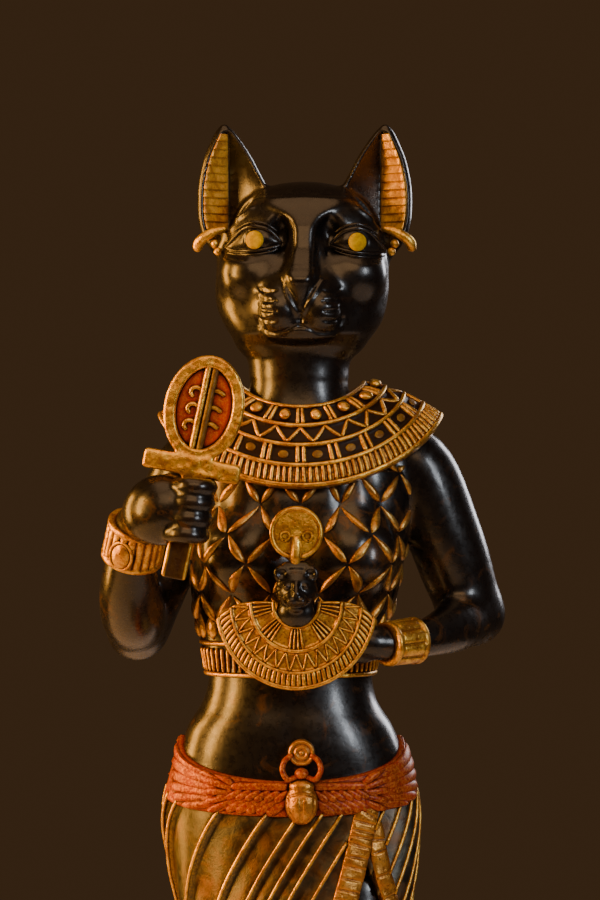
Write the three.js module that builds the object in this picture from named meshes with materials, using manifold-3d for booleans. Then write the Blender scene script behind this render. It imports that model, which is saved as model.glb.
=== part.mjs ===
// A standing cat-headed goddess, cast in one piece of resin together with her low plinth.
// She holds a looped cross in her right fist and a collar shield with a lion head and a sun disc at her waist.
// Millimetres, +Z up, she faces -Y, and the origin is under the middle of the plinth.

import * as THREE from "three";
import { mergeVertices } from "three/addons/utils/BufferGeometryUtils.js";
import Module from "manifold-3d";

const wasm = await Module();
wasm.setup();

// Driving sizes, in millimetres.
const figureHeight = 270; // soles to ear tips
const plinthHeight = 11;
const plinthMargin = 10; // bare ledge round the feet
const plinthChamfer = 1.4;
const soleSink = 0.4; // how far the feet run into the plinth
const crossWall = 3; // the looped cross is one flat bar
const shieldWall = 3.2; // the collar shield at the waist
const skirtWall = 1; // cloth over the hips
const beltWall = 1.1; // the winged belt over the skirt
const collarWall = 1.5; // the broad collar over the chest
const cuffWall = 1; // each bracelet over its wrist

// The figure's own forms are given in 270ths of her height, from the soles up.
const formHeight = 270;
const unit = figureHeight / formHeight;
const own = (size) => size / unit; // a wall keeps its own size at any height of the figure
const crossThickness = own(crossWall);
const shieldThickness = own(shieldWall);
const skirtCloth = own(skirtWall);
const beltCloth = own(beltWall);
const collarCloth = own(collarWall);
const cuffThickness = own(cuffWall);
const fullTurn = Math.PI * 2;
const degree = Math.PI / 180;

// The fineness of the skins.
const trunkSides = 24;
const limbSides = 8;
const collarSides = 24;
const beltSides = 28;
const pleatCount = 16;

const at = (x, y, z) => new THREE.Vector3(x, y, z);
const mix = (a, b, t) => a + (b - a) * t;
const evenly = (count, make) => Array.from({ length: count }, (_, i) => make(i, i / count));

// Manifold solids from three.js geometry, and back.

function signedVolume(geometry) {
  const place = geometry.attributes.position;
  const index = geometry.index.array;
  const [a, b, c] = [at(0, 0, 0), at(0, 0, 0), at(0, 0, 0)];
  let sum = 0;
  for (let i = 0; i < index.length; i += 3) {
    a.fromBufferAttribute(place, index[i]);
    b.fromBufferAttribute(place, index[i + 1]);
    c.fromBufferAttribute(place, index[i + 2]);
    sum += a.dot(b.cross(c)) / 6;
  }
  return sum;
}

function solid(geometry) {
  const bare = geometry.clone();
  bare.deleteAttribute("normal");
  bare.deleteAttribute("uv");
  const merged = mergeVertices(bare, 1e-4);
  const triVerts = new Uint32Array(merged.index.array);
  if (signedVolume(merged) < 0)
    for (let i = 0; i < triVerts.length; i += 3)
      [triVerts[i + 1], triVerts[i + 2]] = [triVerts[i + 2], triVerts[i + 1]];
  const vertProperties = new Float32Array(merged.attributes.position.array);
  return new wasm.Manifold(new wasm.Mesh({ numProp: 3, vertProperties, triVerts }));
}

const joined = (solids) => solids.reduce((whole, piece) => whole.add(piece));

function geometryOf(made) {
  const mesh = made.getMesh();
  const geometry = new THREE.BufferGeometry();
  geometry.setAttribute("position", new THREE.BufferAttribute(mesh.vertProperties, 3));
  geometry.setIndex(new THREE.BufferAttribute(mesh.triVerts, 1));
  geometry.computeVertexNormals();
  return geometry;
}

// Skins over rings of points, closed by a fan at each end.

function loft(rings) {
  const sides = rings[0].length;
  const points = rings.flat().map((p) => p.clone());
  const faces = [];
  for (let ring = 0; ring + 1 < rings.length; ring++)
    for (let side = 0; side < sides; side++) {
      const a = ring * sides + side;
      const b = ring * sides + ((side + 1) % sides);
      faces.push(a, b, b + sides, a, b + sides, a + sides);
    }
  const middle = (ring) => ring.reduce((sum, p) => sum.add(p), at(0, 0, 0)).divideScalar(sides);
  const last = (rings.length - 1) * sides;
  const foot = points.length;
  points.push(middle(rings[0]), middle(rings.at(-1)));
  for (let side = 0; side < sides; side++) {
    const next = (side + 1) % sides;
    faces.push(foot, next, side, foot + 1, last + side, last + next);
  }
  const geometry = new THREE.BufferGeometry().setFromPoints(points);
  geometry.setIndex(faces);
  return geometry;
}

// A band that runs right round: rings of points whose first and last meet.
function hoop(rings) {
  const sides = rings[0].length;
  const count = rings.length;
  const faces = [];
  for (let ring = 0; ring < count; ring++)
    for (let side = 0; side < sides; side++) {
      const a = ring * sides + side;
      const b = ring * sides + ((side + 1) % sides);
      const c = ((ring + 1) % count) * sides + ((side + 1) % sides);
      const d = ((ring + 1) % count) * sides + side;
      faces.push(a, b, c, a, c, d);
    }
  const geometry = new THREE.BufferGeometry().setFromPoints(rings.flat());
  geometry.setIndex(faces);
  return geometry;
}

// A smooth curve through rows of [where, value, value ...].
function profile(rows) {
  const wheres = Float32Array.from(rows, (row) => row[0]);
  const values = Float32Array.from(rows.flatMap((row) => row.slice(1)));
  const curve = new THREE.CubicInterpolant(wheres, values, rows[0].length - 1);
  const [low, high] = [wheres[0], wheres.at(-1)];
  return (where) => Array.from(curve.evaluate(THREE.MathUtils.clamp(where, low, high)));
}

function ellipsoid([x, y, z], [rx, ry, rz], turn = [0, 0, 0], sides = 10) {
  const ball = new THREE.SphereGeometry(1, sides, Math.round(sides * 0.7));
  ball.scale(rx, ry, rz);
  const tilt = new THREE.Euler(turn[0] * degree, turn[1] * degree, turn[2] * degree);
  ball.applyMatrix4(new THREE.Matrix4().makeRotationFromEuler(tilt));
  return solid(ball.translate(x, y, z));
}

const bothSides = (make) => [make(-1), make(1)];

// A round limb through rows of [x, y, z, radius], with rounded ends.
function limb(rows, { sides = limbSides, steps = 2, round = true } = {}) {
  const spine = new THREE.CatmullRomCurve3(rows.map(([x, y, z]) => at(x, y, z)), false, "centripetal");
  const girth = profile(rows.map((row, i) => [i, row[3]]));
  const count = (rows.length - 1) * steps;
  const frames = spine.computeFrenetFrames(count);
  // getPointAt spaces by length, and the radii follow the rows, so both go by the row's share.
  const ring = (share, shrink, ahead) => {
    const slot = Math.round(share * count);
    const centre = spine.getPoint(share);
    const radius = girth(share * (rows.length - 1))[0];
    const along = spine.getTangent(share);
    const side = frames.normals[slot].clone().projectOnPlane(along).normalize();
    const up = along.clone().cross(side);
    centre.addScaledVector(along, ahead * radius);
    return evenly(sides, (i, t) => {
      const turn = t * fullTurn;
      return centre
        .clone()
        .addScaledVector(side, radius * shrink * Math.cos(turn))
        .addScaledVector(up, radius * shrink * Math.sin(turn));
    });
  };
  const domes = round ? [[Math.cos(50 * degree), Math.sin(50 * degree)]] : [];
  const body = evenly(count + 1, (i) => ring(i / count, 1, 0));
  const start = domes.map(([shrink, ahead]) => ring(0, shrink, -ahead));
  const end = domes.map(([shrink, ahead]) => ring(1, shrink, ahead)).reverse();
  return solid(loft([...start, ...body, ...end]));
}

// The trunk, by height: middle, half width, depth in front and depth behind.

const trunkRows = [
  [128, -1.8, 21, 11, 14],
  [140, -1.9, 22.3, 12.6, 16],
  [146.7, -1.8, 22, 13, 15.2],
  [151, -2.1, 20.9, 13.2, 13.6],
  [154.5, -2.3, 19.6, 13, 12.6],
  [158.6, -2.3, 17, 12.4, 11.4],
  [165, -2.2, 15.7, 12, 10.8],
  [170, -2.1, 16.6, 12.2, 11.2],
  [176, -1.7, 18.2, 12.8, 12.2],
  [186, -1, 19.8, 13, 13.4],
  [196, -0.4, 20.8, 12.6, 14],
  [204, -0.2, 20.4, 11.8, 13.4],
  [212, -0.4, 14.6, 10.4, 11.4],
  [218, -0.5, 10.6, 9.6, 10.4],
  [226, -0.2, 10.2, 9.4, 10.2],
  [238, 0.2, 9, 8, 9],
];
const trunkAt = profile(trunkRows);
const trunkSquareness = 2.25;

// A point on the skin: turn 0 is her front, and a quarter turn is her left side.
function around(turn, [middle, half, front, back], squareness) {
  const [across, ahead] = [Math.sin(turn), Math.cos(turn)];
  const spread = Math.abs(across) ** squareness + Math.abs(ahead) ** squareness;
  const reach = spread ** (-1 / squareness);
  const depth = ahead > 0 ? front : back;
  return [middle + half * across * reach, -depth * ahead * reach];
}

function trunk() {
  const rings = trunkRows.map(([z]) =>
    evenly(trunkSides, (i, t) => at(...around(t * fullTurn, trunkAt(z), trunkSquareness), z)),
  );
  const bust = bothSides((side) => ellipsoid([side * 9.8 - 0.6, -9.2, 188.2], [8, 6, 8], [-14, 0, 0], 8));
  return [solid(loft(rings)), ...bust];
}

// The head: rounded masses in the places of a cat's, with the eyes cut in.

const headMiddle = 0.1;
const eyes = { middle: 0.7, spread: 9.3, y: -11, z: 247.4 };

function head() {
  const masses = [
    ellipsoid([headMiddle, 1, 244.8], [17.8, 16, 14.4], [0, 0, 0], 12),
    ellipsoid([headMiddle, -4, 240.4], [17.8, 13.2, 12.6], [0, 0, 0], 12),
    ellipsoid([headMiddle, -3, 234], [16, 12.6, 12], [0, 0, 0], 12),
    ellipsoid([headMiddle, -13, 238.6], [6.6, 6.4, 5.2], [0, 0, 0], 8),
    ellipsoid([headMiddle, -14.2, 229.4], [5.4, 4.6, 3.2], [0, 0, 0], 8),
    ...bothSides((side) => ellipsoid([headMiddle + side * 3.7, -15.4, 234.6], [4.7, 5, 4.6])),
  ];
  const sockets = bothSides((side) =>
    ellipsoid([eyes.middle + side * 8, -18.4, 248.8], [7.4, 5, 4.6], [0, side * -10, 0]),
  );
  const eyeballs = bothSides((side) =>
    ellipsoid([eyes.middle + side * eyes.spread, eyes.y, eyes.z], [5.6, 3.6, 2.6], [0, 0, side * 20], 10),
  );
  const brows = bothSides((side) =>
    limb(
      [
        [headMiddle + side * 1.6, -13.4, 250, 1.2],
        [headMiddle + side * 5.6, -12.2, 253, 1.3],
        [headMiddle + side * 11.8, -9.6, 250.6, 1.1],
      ],
      { sides: 6, steps: 2 },
    ),
  );
  const nose = limb(
    [
      [headMiddle, -9.4, 255, 2],
      [headMiddle, -13.6, 247, 1.9],
      [headMiddle - 0.2, -16.8, 240.4, 2.9],
    ],
    { sides: 8, steps: 2 },
  );
  const face = joined(masses).subtract(joined(sockets));
  return [face, ...eyeballs, ...brows, nose, ...bothSides(ear), ...bothSides(earring)];
}

// An ear is a pointed shell, open to the front. By height: middle, half width, depth in front and behind.
const earRows = [
  [243, 13, 3, 2.6, 3.4],
  [247, 13.9, 5.2, 3.6, 5],
  [252.5, 14.2, 6.6, 4, 5.4],
  [258, 14.4, 6.5, 3.8, 5],
  [263.5, 14.7, 4.9, 3, 4],
  [267.2, 15, 3.2, 2.1, 2.9],
  [269.2, 15.3, 1.6, 1.2, 1.6],
  [270, 15.5, 0.5, 0.5, 0.6],
];
const earSides = 10;
const earHollow = { bottom: 247.5, top: 267.4, wall: 1.1, ahead: -3.1 };
const earDepth = -1.5; // how far in front of the trunk's middle the ears stand

function ear(side) {
  const section = profile(earRows);
  const ringAt = (z, thin, ahead) => {
    const [middle, half, front, back] = section(z);
    const sizes = [0, half - thin, front + thin, back - thin].map((size) => Math.max(size, 0.1));
    return evenly(earSides, (i, t) => {
      const [x, y] = around(t * fullTurn, [0, ...sizes.slice(1)], 2);
      return at(headMiddle + side * (middle + x), y + earDepth + ahead, z);
    });
  };
  const shell = solid(loft(earRows.map(([z]) => ringAt(z, 0, 0))));
  const { bottom, top, wall, ahead } = earHollow;
  const levels = evenly(5, (i) => mix(bottom, top, i / 4));
  const hollow = solid(loft(levels.map((z) => ringAt(z, wall, ahead))));
  return shell.subtract(hollow);
}

function earring(side) {
  return limb(
    [
      [headMiddle + side * 13, -5.4, 249.8, 0.9],
      [headMiddle + side * 17.4, -5.6, 248.4, 1.1],
      [headMiddle + side * 20, -4.4, 246.2, 1.1],
    ],
    { sides: 6, steps: 1 },
  );
}

// The broad collar: rows between raised rims, from the neck out over the shoulders.

const collarInner = { half: 11.2, front: 11, back: 11.4, frontZ: 215.6, sideZ: 219, backZ: 216.4 };
const collarOuter = { half: 27, front: 15.4, back: 16.4, frontZ: 200, sideZ: 212.6, backZ: 202 };
const collarRims = [
  [0, 0.06],
  [0.26, 0.32],
  [0.68, 0.74],
  [0.94, 1],
];
const rimProud = 0.55;

function collarPoint(turn, share, proud) {
  const ahead = Math.cos(turn);
  const dip = Math.abs(ahead) ** 1.6;
  const edgeZ = (edge) => mix(edge.sideZ, ahead > 0 ? edge.frontZ : edge.backZ, dip);
  const out = mix(share, 1 - (1 - share) ** 1.5, dip);
  const drop = mix(share ** 1.7, share ** 1.12, dip);
  const sizes = ["half", "front", "back"].map((side) =>
    mix(collarInner[side], collarOuter[side], out) + proud * mix(0.35, 1, dip),
  );
  const [x, y] = around(turn, [-0.3, ...sizes], 2);
  return at(x, y, mix(edgeZ(collarInner), edgeZ(collarOuter), drop) + proud * mix(1, 0.3, dip));
}

// The steps of a face with raised rims: [share, how far it stands proud].
function rimmed(rims, proud) {
  return rims.flatMap(([from, to]) => [
    [from - 0.012, proud],
    [from, proud + rimProud],
    [to, proud + rimProud],
    [to + 0.012, proud],
  ]);
}

function collar() {
  const face = rimmed(collarRims, collarCloth).slice(1, -1);
  const lining = [0.96, 0.04].map((share) => [share, -3]);
  const rings = evenly(collarSides, (i, t) =>
    [...face, ...lining].map(([share, proud]) => collarPoint(t * fullTurn, share, proud)),
  );
  return [solid(hoop(rings))];
}

// The wrapped skirt. By height: middle, half width, depth in front and behind.

const skirtHem = 15;
const skirtRows = [
  [skirtHem, -1.2, 15.4, 13.6, 13.4],
  [30, -1.2, 14.8, 13.2, 12.8],
  [55, -1.2, 15.4, 13.4, 12.4],
  [78, -1.2, 16.8, 14, 12.8],
  [100, -1.2, 19, 13.8, 14],
  [118, -1.5, 21.2, 13.2, 15.6],
  [128, -1.8, 22.6, 12.6, 16.4],
  [138.6, -2.1, 23, 12.6, 16.6],
  [146.7, -1.8, 22, 12.9, 15.4],
  [153, -2.2, 20.4, 13, 13.6],
];
const skirtAt = profile(skirtRows);
const pleatProud = 0.9;
const waistTop = { front: 142.6, side: 152, back: 149 };
const waistBottom = { front: 136, side: 137, back: 137 };

function waistZ(edge, turn) {
  const ahead = Math.cos(turn);
  return mix(edge.side, ahead > 0 ? edge.front : edge.back, Math.abs(ahead) ** 0.9);
}

// Pleats lean from lower right to upper left, steeply round the hips and less so towards the hem.
const pleatLean = (z) => {
  const rise = (z - skirtHem) / (138 - skirtHem);
  return (20 * rise + 95 * rise ** 2) * degree;
};

function clothPoint(z, turn, proud) {
  return at(...around(turn, skirtAt(z).map((size, i) => (i ? size + proud : size)), 2.1), z);
}

function skirt() {
  const rises = [0, 0.18, 0.36, 0.54, 0.7, 0.85, 1];
  const rings = rises.map((rise) =>
    evenly(pleatCount * 2, (i, t) => {
      const level = mix(skirtHem, 138, rise);
      const turn = t * fullTurn + pleatLean(level) + (i % 2 ? 3 * degree : 0);
      const z = mix(skirtHem, mix(waistZ(waistBottom, turn), waistZ(waistTop, turn), 0.35), rise);
      return clothPoint(z, turn, skirtCloth + (i % 2 ? pleatProud : 0));
    }),
  );
  return solid(loft(rings)).subtract(slit());
}

// The slit runs from the left hip to the hem and shows the leg that steps forward.
const slitRows = [
  [120, 9.8, 13.2],
  [106, 6.6, 15.6],
  [84, 4, 16.8],
  [50, 1.4, 17.4],
  [10, 0.2, 18],
];
const slitTop = 126.5;
const slitFloor = 7.6; // how far in front of her middle the cloth inside the slit lies

function slit() {
  const outline = [at(11.8, slitTop, 0), ...slitRows.map(([z, , right]) => at(right, z, 0))];
  outline.push(...slitRows.toReversed().map(([z, left]) => at(left, z, 0)));
  const wedge = new THREE.ExtrudeGeometry(new THREE.Shape(outline), { depth: 16, bevelEnabled: false });
  return solid(wedge.rotateX(90 * degree).translate(0, -slitFloor, 0));
}

// The hanging bands on each edge of the slit.
function sashes() {
  const edge = (rows, width) =>
    rows.map(([z, x, proud]) => {
      const [middle, half, front] = skirtAt(z);
      const deep = front * Math.sqrt(Math.max(0, 1 - ((x - middle) / half) ** 2));
      return [x, -deep - proud, z, width / 2];
    });
  const leftRows = [
    [136, 11.8, 0.4],
    [120, 7.8, 0.5],
    [106, 4.8, 0.6],
    [84, 2.2, 0.6],
    [50, -0.4, 0.5],
    [18, -1.6, 0.4],
  ];
  const rightRows = [
    [127, 12.8, 0.2],
    [120, 14.8, 0.4],
    [106, 17, 0.4],
  ];
  return [limb(edge(leftRows, 3.4), { sides: 6, steps: 1 }), limb(edge(rightRows, 3), { sides: 6, steps: 1 })];
}

// The winged belt round the hips, with a beetle that lifts a small disc.

function belt() {
  const rings = evenly(beltSides, (i, t) => {
    const turn = t * fullTurn;
    const [low, high] = [waistZ(waistBottom, turn), waistZ(waistTop, turn)];
    const proud = skirtCloth + beltCloth;
    return [
      clothPoint(low, turn, proud * 0.7),
      clothPoint(mix(low, high, 0.12), turn, proud + 0.3),
      clothPoint(mix(low, high, 0.55), turn, proud),
      clothPoint(high, turn, proud * 0.55),
      clothPoint(high - 0.6, turn, -4),
      clothPoint(low + 0.4, turn, -4),
    ];
  });
  return [solid(hoop(rings)), ...beetle()];
}

const beetleMiddle = { x: -0.1, y: -14.6, z: 138.4 };

function beetle() {
  const { x, y, z } = beetleMiddle;
  const foreleg = (side) =>
    limb(
      [
        [x + side * 1.2, y - 0.6, z + 5.4, 0.7],
        [x + side * 3.6, y - 0.6, z + 6.6, 0.8],
        [x + side * 3.6, y - 0.2, z + 9.4, 0.8],
        [x + side * 1.8, y - 0.2, z + 11.4, 0.7],
      ],
      { sides: 5, steps: 1 },
    );
  return [
    ellipsoid([x, y - 0.6, z - 0.8], [3, 2.2, 4.2], [0, 0, 0], 10),
    ellipsoid([x, y - 0.4, z + 3.4], [2.4, 1.8, 1.7], [0, 0, 0], 8),
    ellipsoid([x, y - 0.2, z + 5.8], [1.3, 1.2, 1.3], [0, 0, 0], 8),
    ellipsoid([x, y + 0.6, z + 11.8], [2.4, 1.6, 2.4], [0, 0, 0], 8),
    ...bothSides(foreleg),
  ];
}

// The left leg steps forward through the slit, and both bare feet stand on the plinth.

const leftFoot = { x: 9.4, heel: 1, toe: -34 };
const rightFoot = { x: -9.6, heel: 17, toe: -19 };
const footHalf = 5;
const toeEnd = Math.min(leftFoot.toe, rightFoot.toe);
const heelEnd = Math.max(leftFoot.heel, rightFoot.heel);
const setBack = -(toeEnd + heelEnd) / 2; // brings the middle of her stance over the plinth's

function foot({ x, heel, toe }, side) {
  const length = heel - toe;
  const along = (share) => heel + (toe - heel) * share;
  const instep = limb(
    [
      [x, along(0.14), 3.2, 3.6],
      [x + side * 0.4, along(0.4), 3.6, 3.8],
      [x + side * 0.6, along(0.72), 1.9, 4],
    ],
    { sides: 8, steps: 2 },
  );
  const toes = evenly(5, (i) => {
    const across = mix(-3.3, 3.5, i / 4) * side;
    const reach = length * (0.93 - 0.028 * i ** 1.5);
    const radius = i ? 1.05 : 1.5;
    return limb(
      [
        [x + side * 0.5 + across * 0.8, heel - length * 0.68, 1, radius],
        [x + side * 0.5 + across, heel - reach, 0.6, radius],
      ],
      { sides: 5, steps: 1 },
    );
  });
  return [instep, ...toes];
}

function legs() {
  return [
    limb([
      [9.6, -2.4, 118, 9],
      [9.8, -7, 78, 7.6],
      [9.6, -6.6, 60, 7],
      [9.3, -5.4, 36, 5.8],
      [9.2, -4.6, 14, 4],
      [9.3, -4.2, 4, 4],
    ]),
    limb([
      [-9.4, 6, 30, 5.2],
      [-9.6, 10.4, 12, 4],
      [-9.6, 11.6, 4, 4],
    ]),
    ...foot(leftFoot, 1),
    ...foot(rightFoot, -1),
  ];
}

// Arms. Both upper arms hang a little behind her, and the forearms come forward.

const rightElbow = [-32, 5.6, 172.4];
const rightWrist = [-30.8, -23, 191.8];
const leftElbow = [33.4, 7.2, 175.4];
const leftWrist = [17.4, -16.6, 170.8];

function arms() {
  return [
    limb([
      [-17, 1, 206.6, 6.4],
      [-21.6, 1.4, 203.6, 6.8],
      [-26.4, 3, 190, 7.2],
      [-30.4, 5, 178, 6.6],
      [...rightElbow, 5.2],
    ]),
    limb([
      [...rightElbow, 5.4],
      [-32.4, -4, 177.4, 6.3],
      [-32.3, -15, 185, 5.2],
      [...rightWrist, 4.2],
    ]),
    limb([
      [17, 1, 206.6, 6.4],
      [21.8, 1.4, 204.4, 6.9],
      [27.2, 3.4, 192, 7.2],
      [30.8, 5.6, 182, 7],
      [...leftElbow, 5.6],
    ]),
    limb([
      [...leftElbow, 5.6],
      [29.4, -1.4, 173.4, 5.2],
      [23.4, -9.4, 171.8, 4.6],
      [...leftWrist, 3.8],
    ]),
  ];
}

// A bracelet: a short sleeve that flares towards the elbow.
function cuff(from, to, rimRadius, wristRadius) {
  const axis = new THREE.LineCurve3(at(...from), at(...to));
  const along = axis.getTangent(0);
  const side = at(0, 0, 1).projectOnPlane(along).normalize();
  const up = along.clone().cross(side);
  const rings = [
    [0, wristRadius],
    [0.14, wristRadius],
    [0.86, rimRadius],
    [1, rimRadius],
  ].map(([share, radius]) =>
    evenly(10, (i, t) =>
      axis
        .getPoint(share)
        .addScaledVector(side, radius * Math.cos(t * fullTurn))
        .addScaledVector(up, radius * Math.sin(t * fullTurn)),
    ),
  );
  return solid(loft(rings));
}

function cuffs() {
  return [
    cuff([-31.2, -21.6, 190.8], [-32.3, -13.4, 184.4], 5.4 + cuffThickness, 4.4 + cuffThickness),
    cuff([18, -15.8, 170.9], [23.2, -9.8, 171.9], 4.4 + cuffThickness, 3.8 + cuffThickness),
  ];
}

// The right fist, closed round the cross's shaft, and the left hand behind the shield.

const crossMiddle = [-20.5, -30.6, 204]; // where the bar crosses the shaft
const crossTilt = 12; // degrees, the loop leans towards her neck
const fingerCount = 4;

function fingers(knuckle, bend, tip, drop, radius) {
  return evenly(fingerCount, (i) => {
    const down = (p) => [p[0] - drop[0] * i, p[1], p[2] - drop[1] * i, radius];
    return limb([down(knuckle), down(bend), down(tip)], { sides: 6, steps: 1 });
  });
}

function hands() {
  const rightPalm = ellipsoid([-26, -29, 196.4], [7.2, 5, 6.4], [0, 6, -10], 10);
  const leftPalm = ellipsoid([11.4, -18.4, 171], [6.6, 3.6, 5]);
  return [
    rightPalm,
    ...fingers([-23.6, -33.2, 201], [-19, -34, 200.8], [-17, -30.4, 200.8], [0.5, 3.1], 1.65),
    limb([[-29, -26.6, 199, 2.2], [-24, -26.6, 201.4, 1.7], [-19.2, -28.6, 201.4, 1.4]], { sides: 6, steps: 2 }),
    leftPalm,
  ];
}

// The looped cross: an oval loop round a pierced-looking panel, a bar and a shaft.

const loopSize = { half: 7.4, height: 9.9, band: 2.3, rise: 11.2 };
const barSize = { half: 9.1, waist: 1.3, flare: 1.9 };
const shaftSize = { half: 2.2, above: 3, below: 20.4 };
const panelFloor = 0.2; // how far the loop's floor stands behind its mid plane

function cross() {
  const { half, height, band, rise } = loopSize;
  const flat = (shape, depth) => {
    const slab = new THREE.ExtrudeGeometry(shape, { depth, bevelEnabled: false, curveSegments: 14 });
    return slab.translate(0, 0, -depth / 2);
  };
  const oval = (grow) => {
    const shape = new THREE.Shape();
    shape.absellipse(0, rise, half + grow, height + grow, 0, fullTurn);
    return shape;
  };
  const plate = (width, top, low) =>
    new THREE.BoxGeometry(width * 2, top - low, crossThickness).translate(0, (top + low) / 2, 0);
  const cut = crossThickness;
  const panel = solid(flat(oval(-band), cut).translate(0, 0, cut / 2 - panelFloor));
  const rodAt = (i) => rise - 3.2 + i * 3.2;
  const rods = evenly(3, (i) => plate(4, rodAt(i) + 0.6, rodAt(i) - 0.6).translate(0, 0, -0.5));
  const { half: reach, waist, flare } = barSize;
  const bar = new THREE.Shape(
    [
      [-reach, -flare],
      [0, -waist],
      [reach, -flare],
      [reach, flare],
      [0, waist],
      [-reach, flare],
    ].map(([x, y]) => new THREE.Vector2(x, y)),
  );
  const stem = plate(0.8, rise + height - 1, rise - height + 1).translate(0, 0, -0.3);
  const ribs = [stem, ...rods].map(solid);
  const flatWork = joined([
    solid(flat(oval(0), crossThickness)).subtract(panel),
    ...ribs,
    solid(flat(bar, crossThickness + 0.6)),
    solid(plate(shaftSize.half, shaftSize.above, -shaftSize.below)),
  ]);
  const stand = new THREE.Matrix4()
    .makeTranslation(...crossMiddle)
    .multiply(new THREE.Matrix4().makeRotationY(crossTilt * degree))
    .multiply(new THREE.Matrix4().makeRotationX(90 * degree));
  return solid(geometryOf(flatWork).applyMatrix4(stand));
}

// The shield: a half-round collar with rims, below a lion head that carries a sun disc.

const shieldMiddle = { x: -1.2, y: -22.4, z: 176.6 };
const shieldSize = { half: 15.6, drop: 15.4, neck: 4.9 };
const shieldRims = [
  [0.36, 0.44],
  [0.92, 1],
];

function shieldPoint(turn, share, proud) {
  const { half, drop, neck } = shieldSize;
  const reach = mix(neck, half, share);
  const fall = mix(neck, drop, share);
  const across = Math.sin(turn) * reach;
  const down = -Math.cos(turn) * fall;
  const bow = 2.2 * (across / half) ** 2 + 1.2 * (down / drop) ** 2;
  return at(shieldMiddle.x + across, shieldMiddle.y + bow - proud, shieldMiddle.z + down);
}

function shield() {
  const spokes = 20;
  const sweep = 106 * degree;
  const face = [[0, 0], ...rimmed(shieldRims, 0).slice(0, -1)];
  const lining = [1, 0].map((share) => [share, -shieldThickness]);
  const rings = evenly(spokes + 1, (i) =>
    [...face, ...lining].map(([share, proud]) => shieldPoint(mix(-sweep, sweep, i / spokes), share, proud)),
  );
  return [solid(loft(rings)), ...shieldHead()];
}

function shieldHead() {
  const { x, y, z } = shieldMiddle;
  const neckAndFace = [
    ellipsoid([x, y + 0.6, z - 0.6], [5.2, 2.6, 5.2], [0, 0, 0], 8),
    ellipsoid([x, y + 0.4, z + 5.4], [4.3, 3.4, 4.6], [0, 0, 0], 8),
    ellipsoid([x, y - 2.2, z + 3.6], [2.4, 2.2, 2], [0, 0, 0], 6),
    ...bothSides((side) => ellipsoid([x + side * 3.4, y + 0.2, z + 8], [1.3, 1, 1.6], [0, 0, 0], 6)),
  ];
  const disc = new THREE.CylinderGeometry(5.1, 5.1, 2.6, 20).translate(x, y + 1.4, z + 14.2);
  const snake = limb(
    [
      [x, y - 1.2, z + 9.4, 0.8],
      [x, y - 1.4, z + 12, 1.1],
      [x, y - 0.6, z + 13.6, 0.7],
    ],
    { sides: 6, steps: 2 },
  );
  return [...neckAndFace, solid(disc), snake];
}

// The plinth reaches a plain ledge past the feet on every side.

function plinth() {
  const half = (Math.max(leftFoot.x, -rightFoot.x) + footHalf) * unit + plinthMargin;
  const deep = ((heelEnd - toeEnd) / 2) * unit + plinthMargin;
  const ring = (inset, z) =>
    [
      at(-half + inset, -deep + inset, z),
      at(half - inset, -deep + inset, z),
      at(half - inset, deep - inset, z),
      at(-half + inset, deep - inset, z),
    ];
  return solid(
    loft([ring(0, 0), ring(0, plinthHeight - plinthChamfer), ring(plinthChamfer, plinthHeight)]),
  );
}

function figure() {
  const forms = [
    ...trunk(),
    ...head(),
    ...collar(),
    skirt(),
    ...sashes(),
    ...belt(),
    ...legs(),
    ...arms(),
    ...cuffs(),
    ...hands(),
    cross(),
    ...shield(),
  ];
  const stand = new THREE.Matrix4()
    .makeTranslation(0, setBack * unit, plinthHeight - soleSink)
    .multiply(new THREE.Matrix4().makeScale(unit, unit, unit));
  return solid(geometryOf(joined(forms)).applyMatrix4(stand));
}

const bastet = new THREE.Mesh(
  geometryOf(joined([figure(), plinth()])),
  new THREE.MeshStandardMaterial({ color: "#0d0c0d", roughness: 0.28, metalness: 0.1 }),
);
bastet.name = "bastet_figurine";

const group = new THREE.Group();
group.add(bastet);

export default group;
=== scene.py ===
# A cat-headed goddess figurine: black resin, antique gold, red enamel and a patinated skirt.
# Forms are worked out in figure millimetres (z up from the soles, she faces -y), then set on
# the frame.
import math

import bpy
import numpy as np
import openvdb
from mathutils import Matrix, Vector


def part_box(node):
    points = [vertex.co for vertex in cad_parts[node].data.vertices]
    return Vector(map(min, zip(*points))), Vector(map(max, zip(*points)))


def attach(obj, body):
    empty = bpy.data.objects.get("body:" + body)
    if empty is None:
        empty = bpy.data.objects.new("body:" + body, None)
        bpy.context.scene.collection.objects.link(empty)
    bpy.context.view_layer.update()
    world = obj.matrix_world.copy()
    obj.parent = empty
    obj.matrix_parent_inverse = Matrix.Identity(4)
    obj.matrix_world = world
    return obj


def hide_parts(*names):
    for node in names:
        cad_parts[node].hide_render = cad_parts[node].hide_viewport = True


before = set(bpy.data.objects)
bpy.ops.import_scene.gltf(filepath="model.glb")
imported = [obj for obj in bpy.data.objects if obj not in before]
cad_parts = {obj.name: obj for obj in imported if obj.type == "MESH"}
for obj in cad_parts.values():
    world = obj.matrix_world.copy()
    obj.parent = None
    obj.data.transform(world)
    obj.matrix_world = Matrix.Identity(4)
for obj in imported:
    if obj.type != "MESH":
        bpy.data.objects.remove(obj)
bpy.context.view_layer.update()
nodeName = "bastet_figurine"
bodyName = "root"

figure = {
    "height": 270.0,  # soles to ear tips
    "plinthHeight": 11.0,
    "soleSink": 0.4,
    "setBack": 8.5,  # her own middle stands this far behind the plinth's
}
boxLow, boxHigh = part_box(nodeName)
lift = figure["plinthHeight"] - figure["soleSink"]
scale = ((boxHigh.z - boxLow.z) * 1000 - lift) / figure["height"]
degree = math.pi / 180
fullTurn = math.pi * 2
bothSides = (-1, 1)


def report(stage):
    print("stage:", stage)


# Numbers and curves

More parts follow.
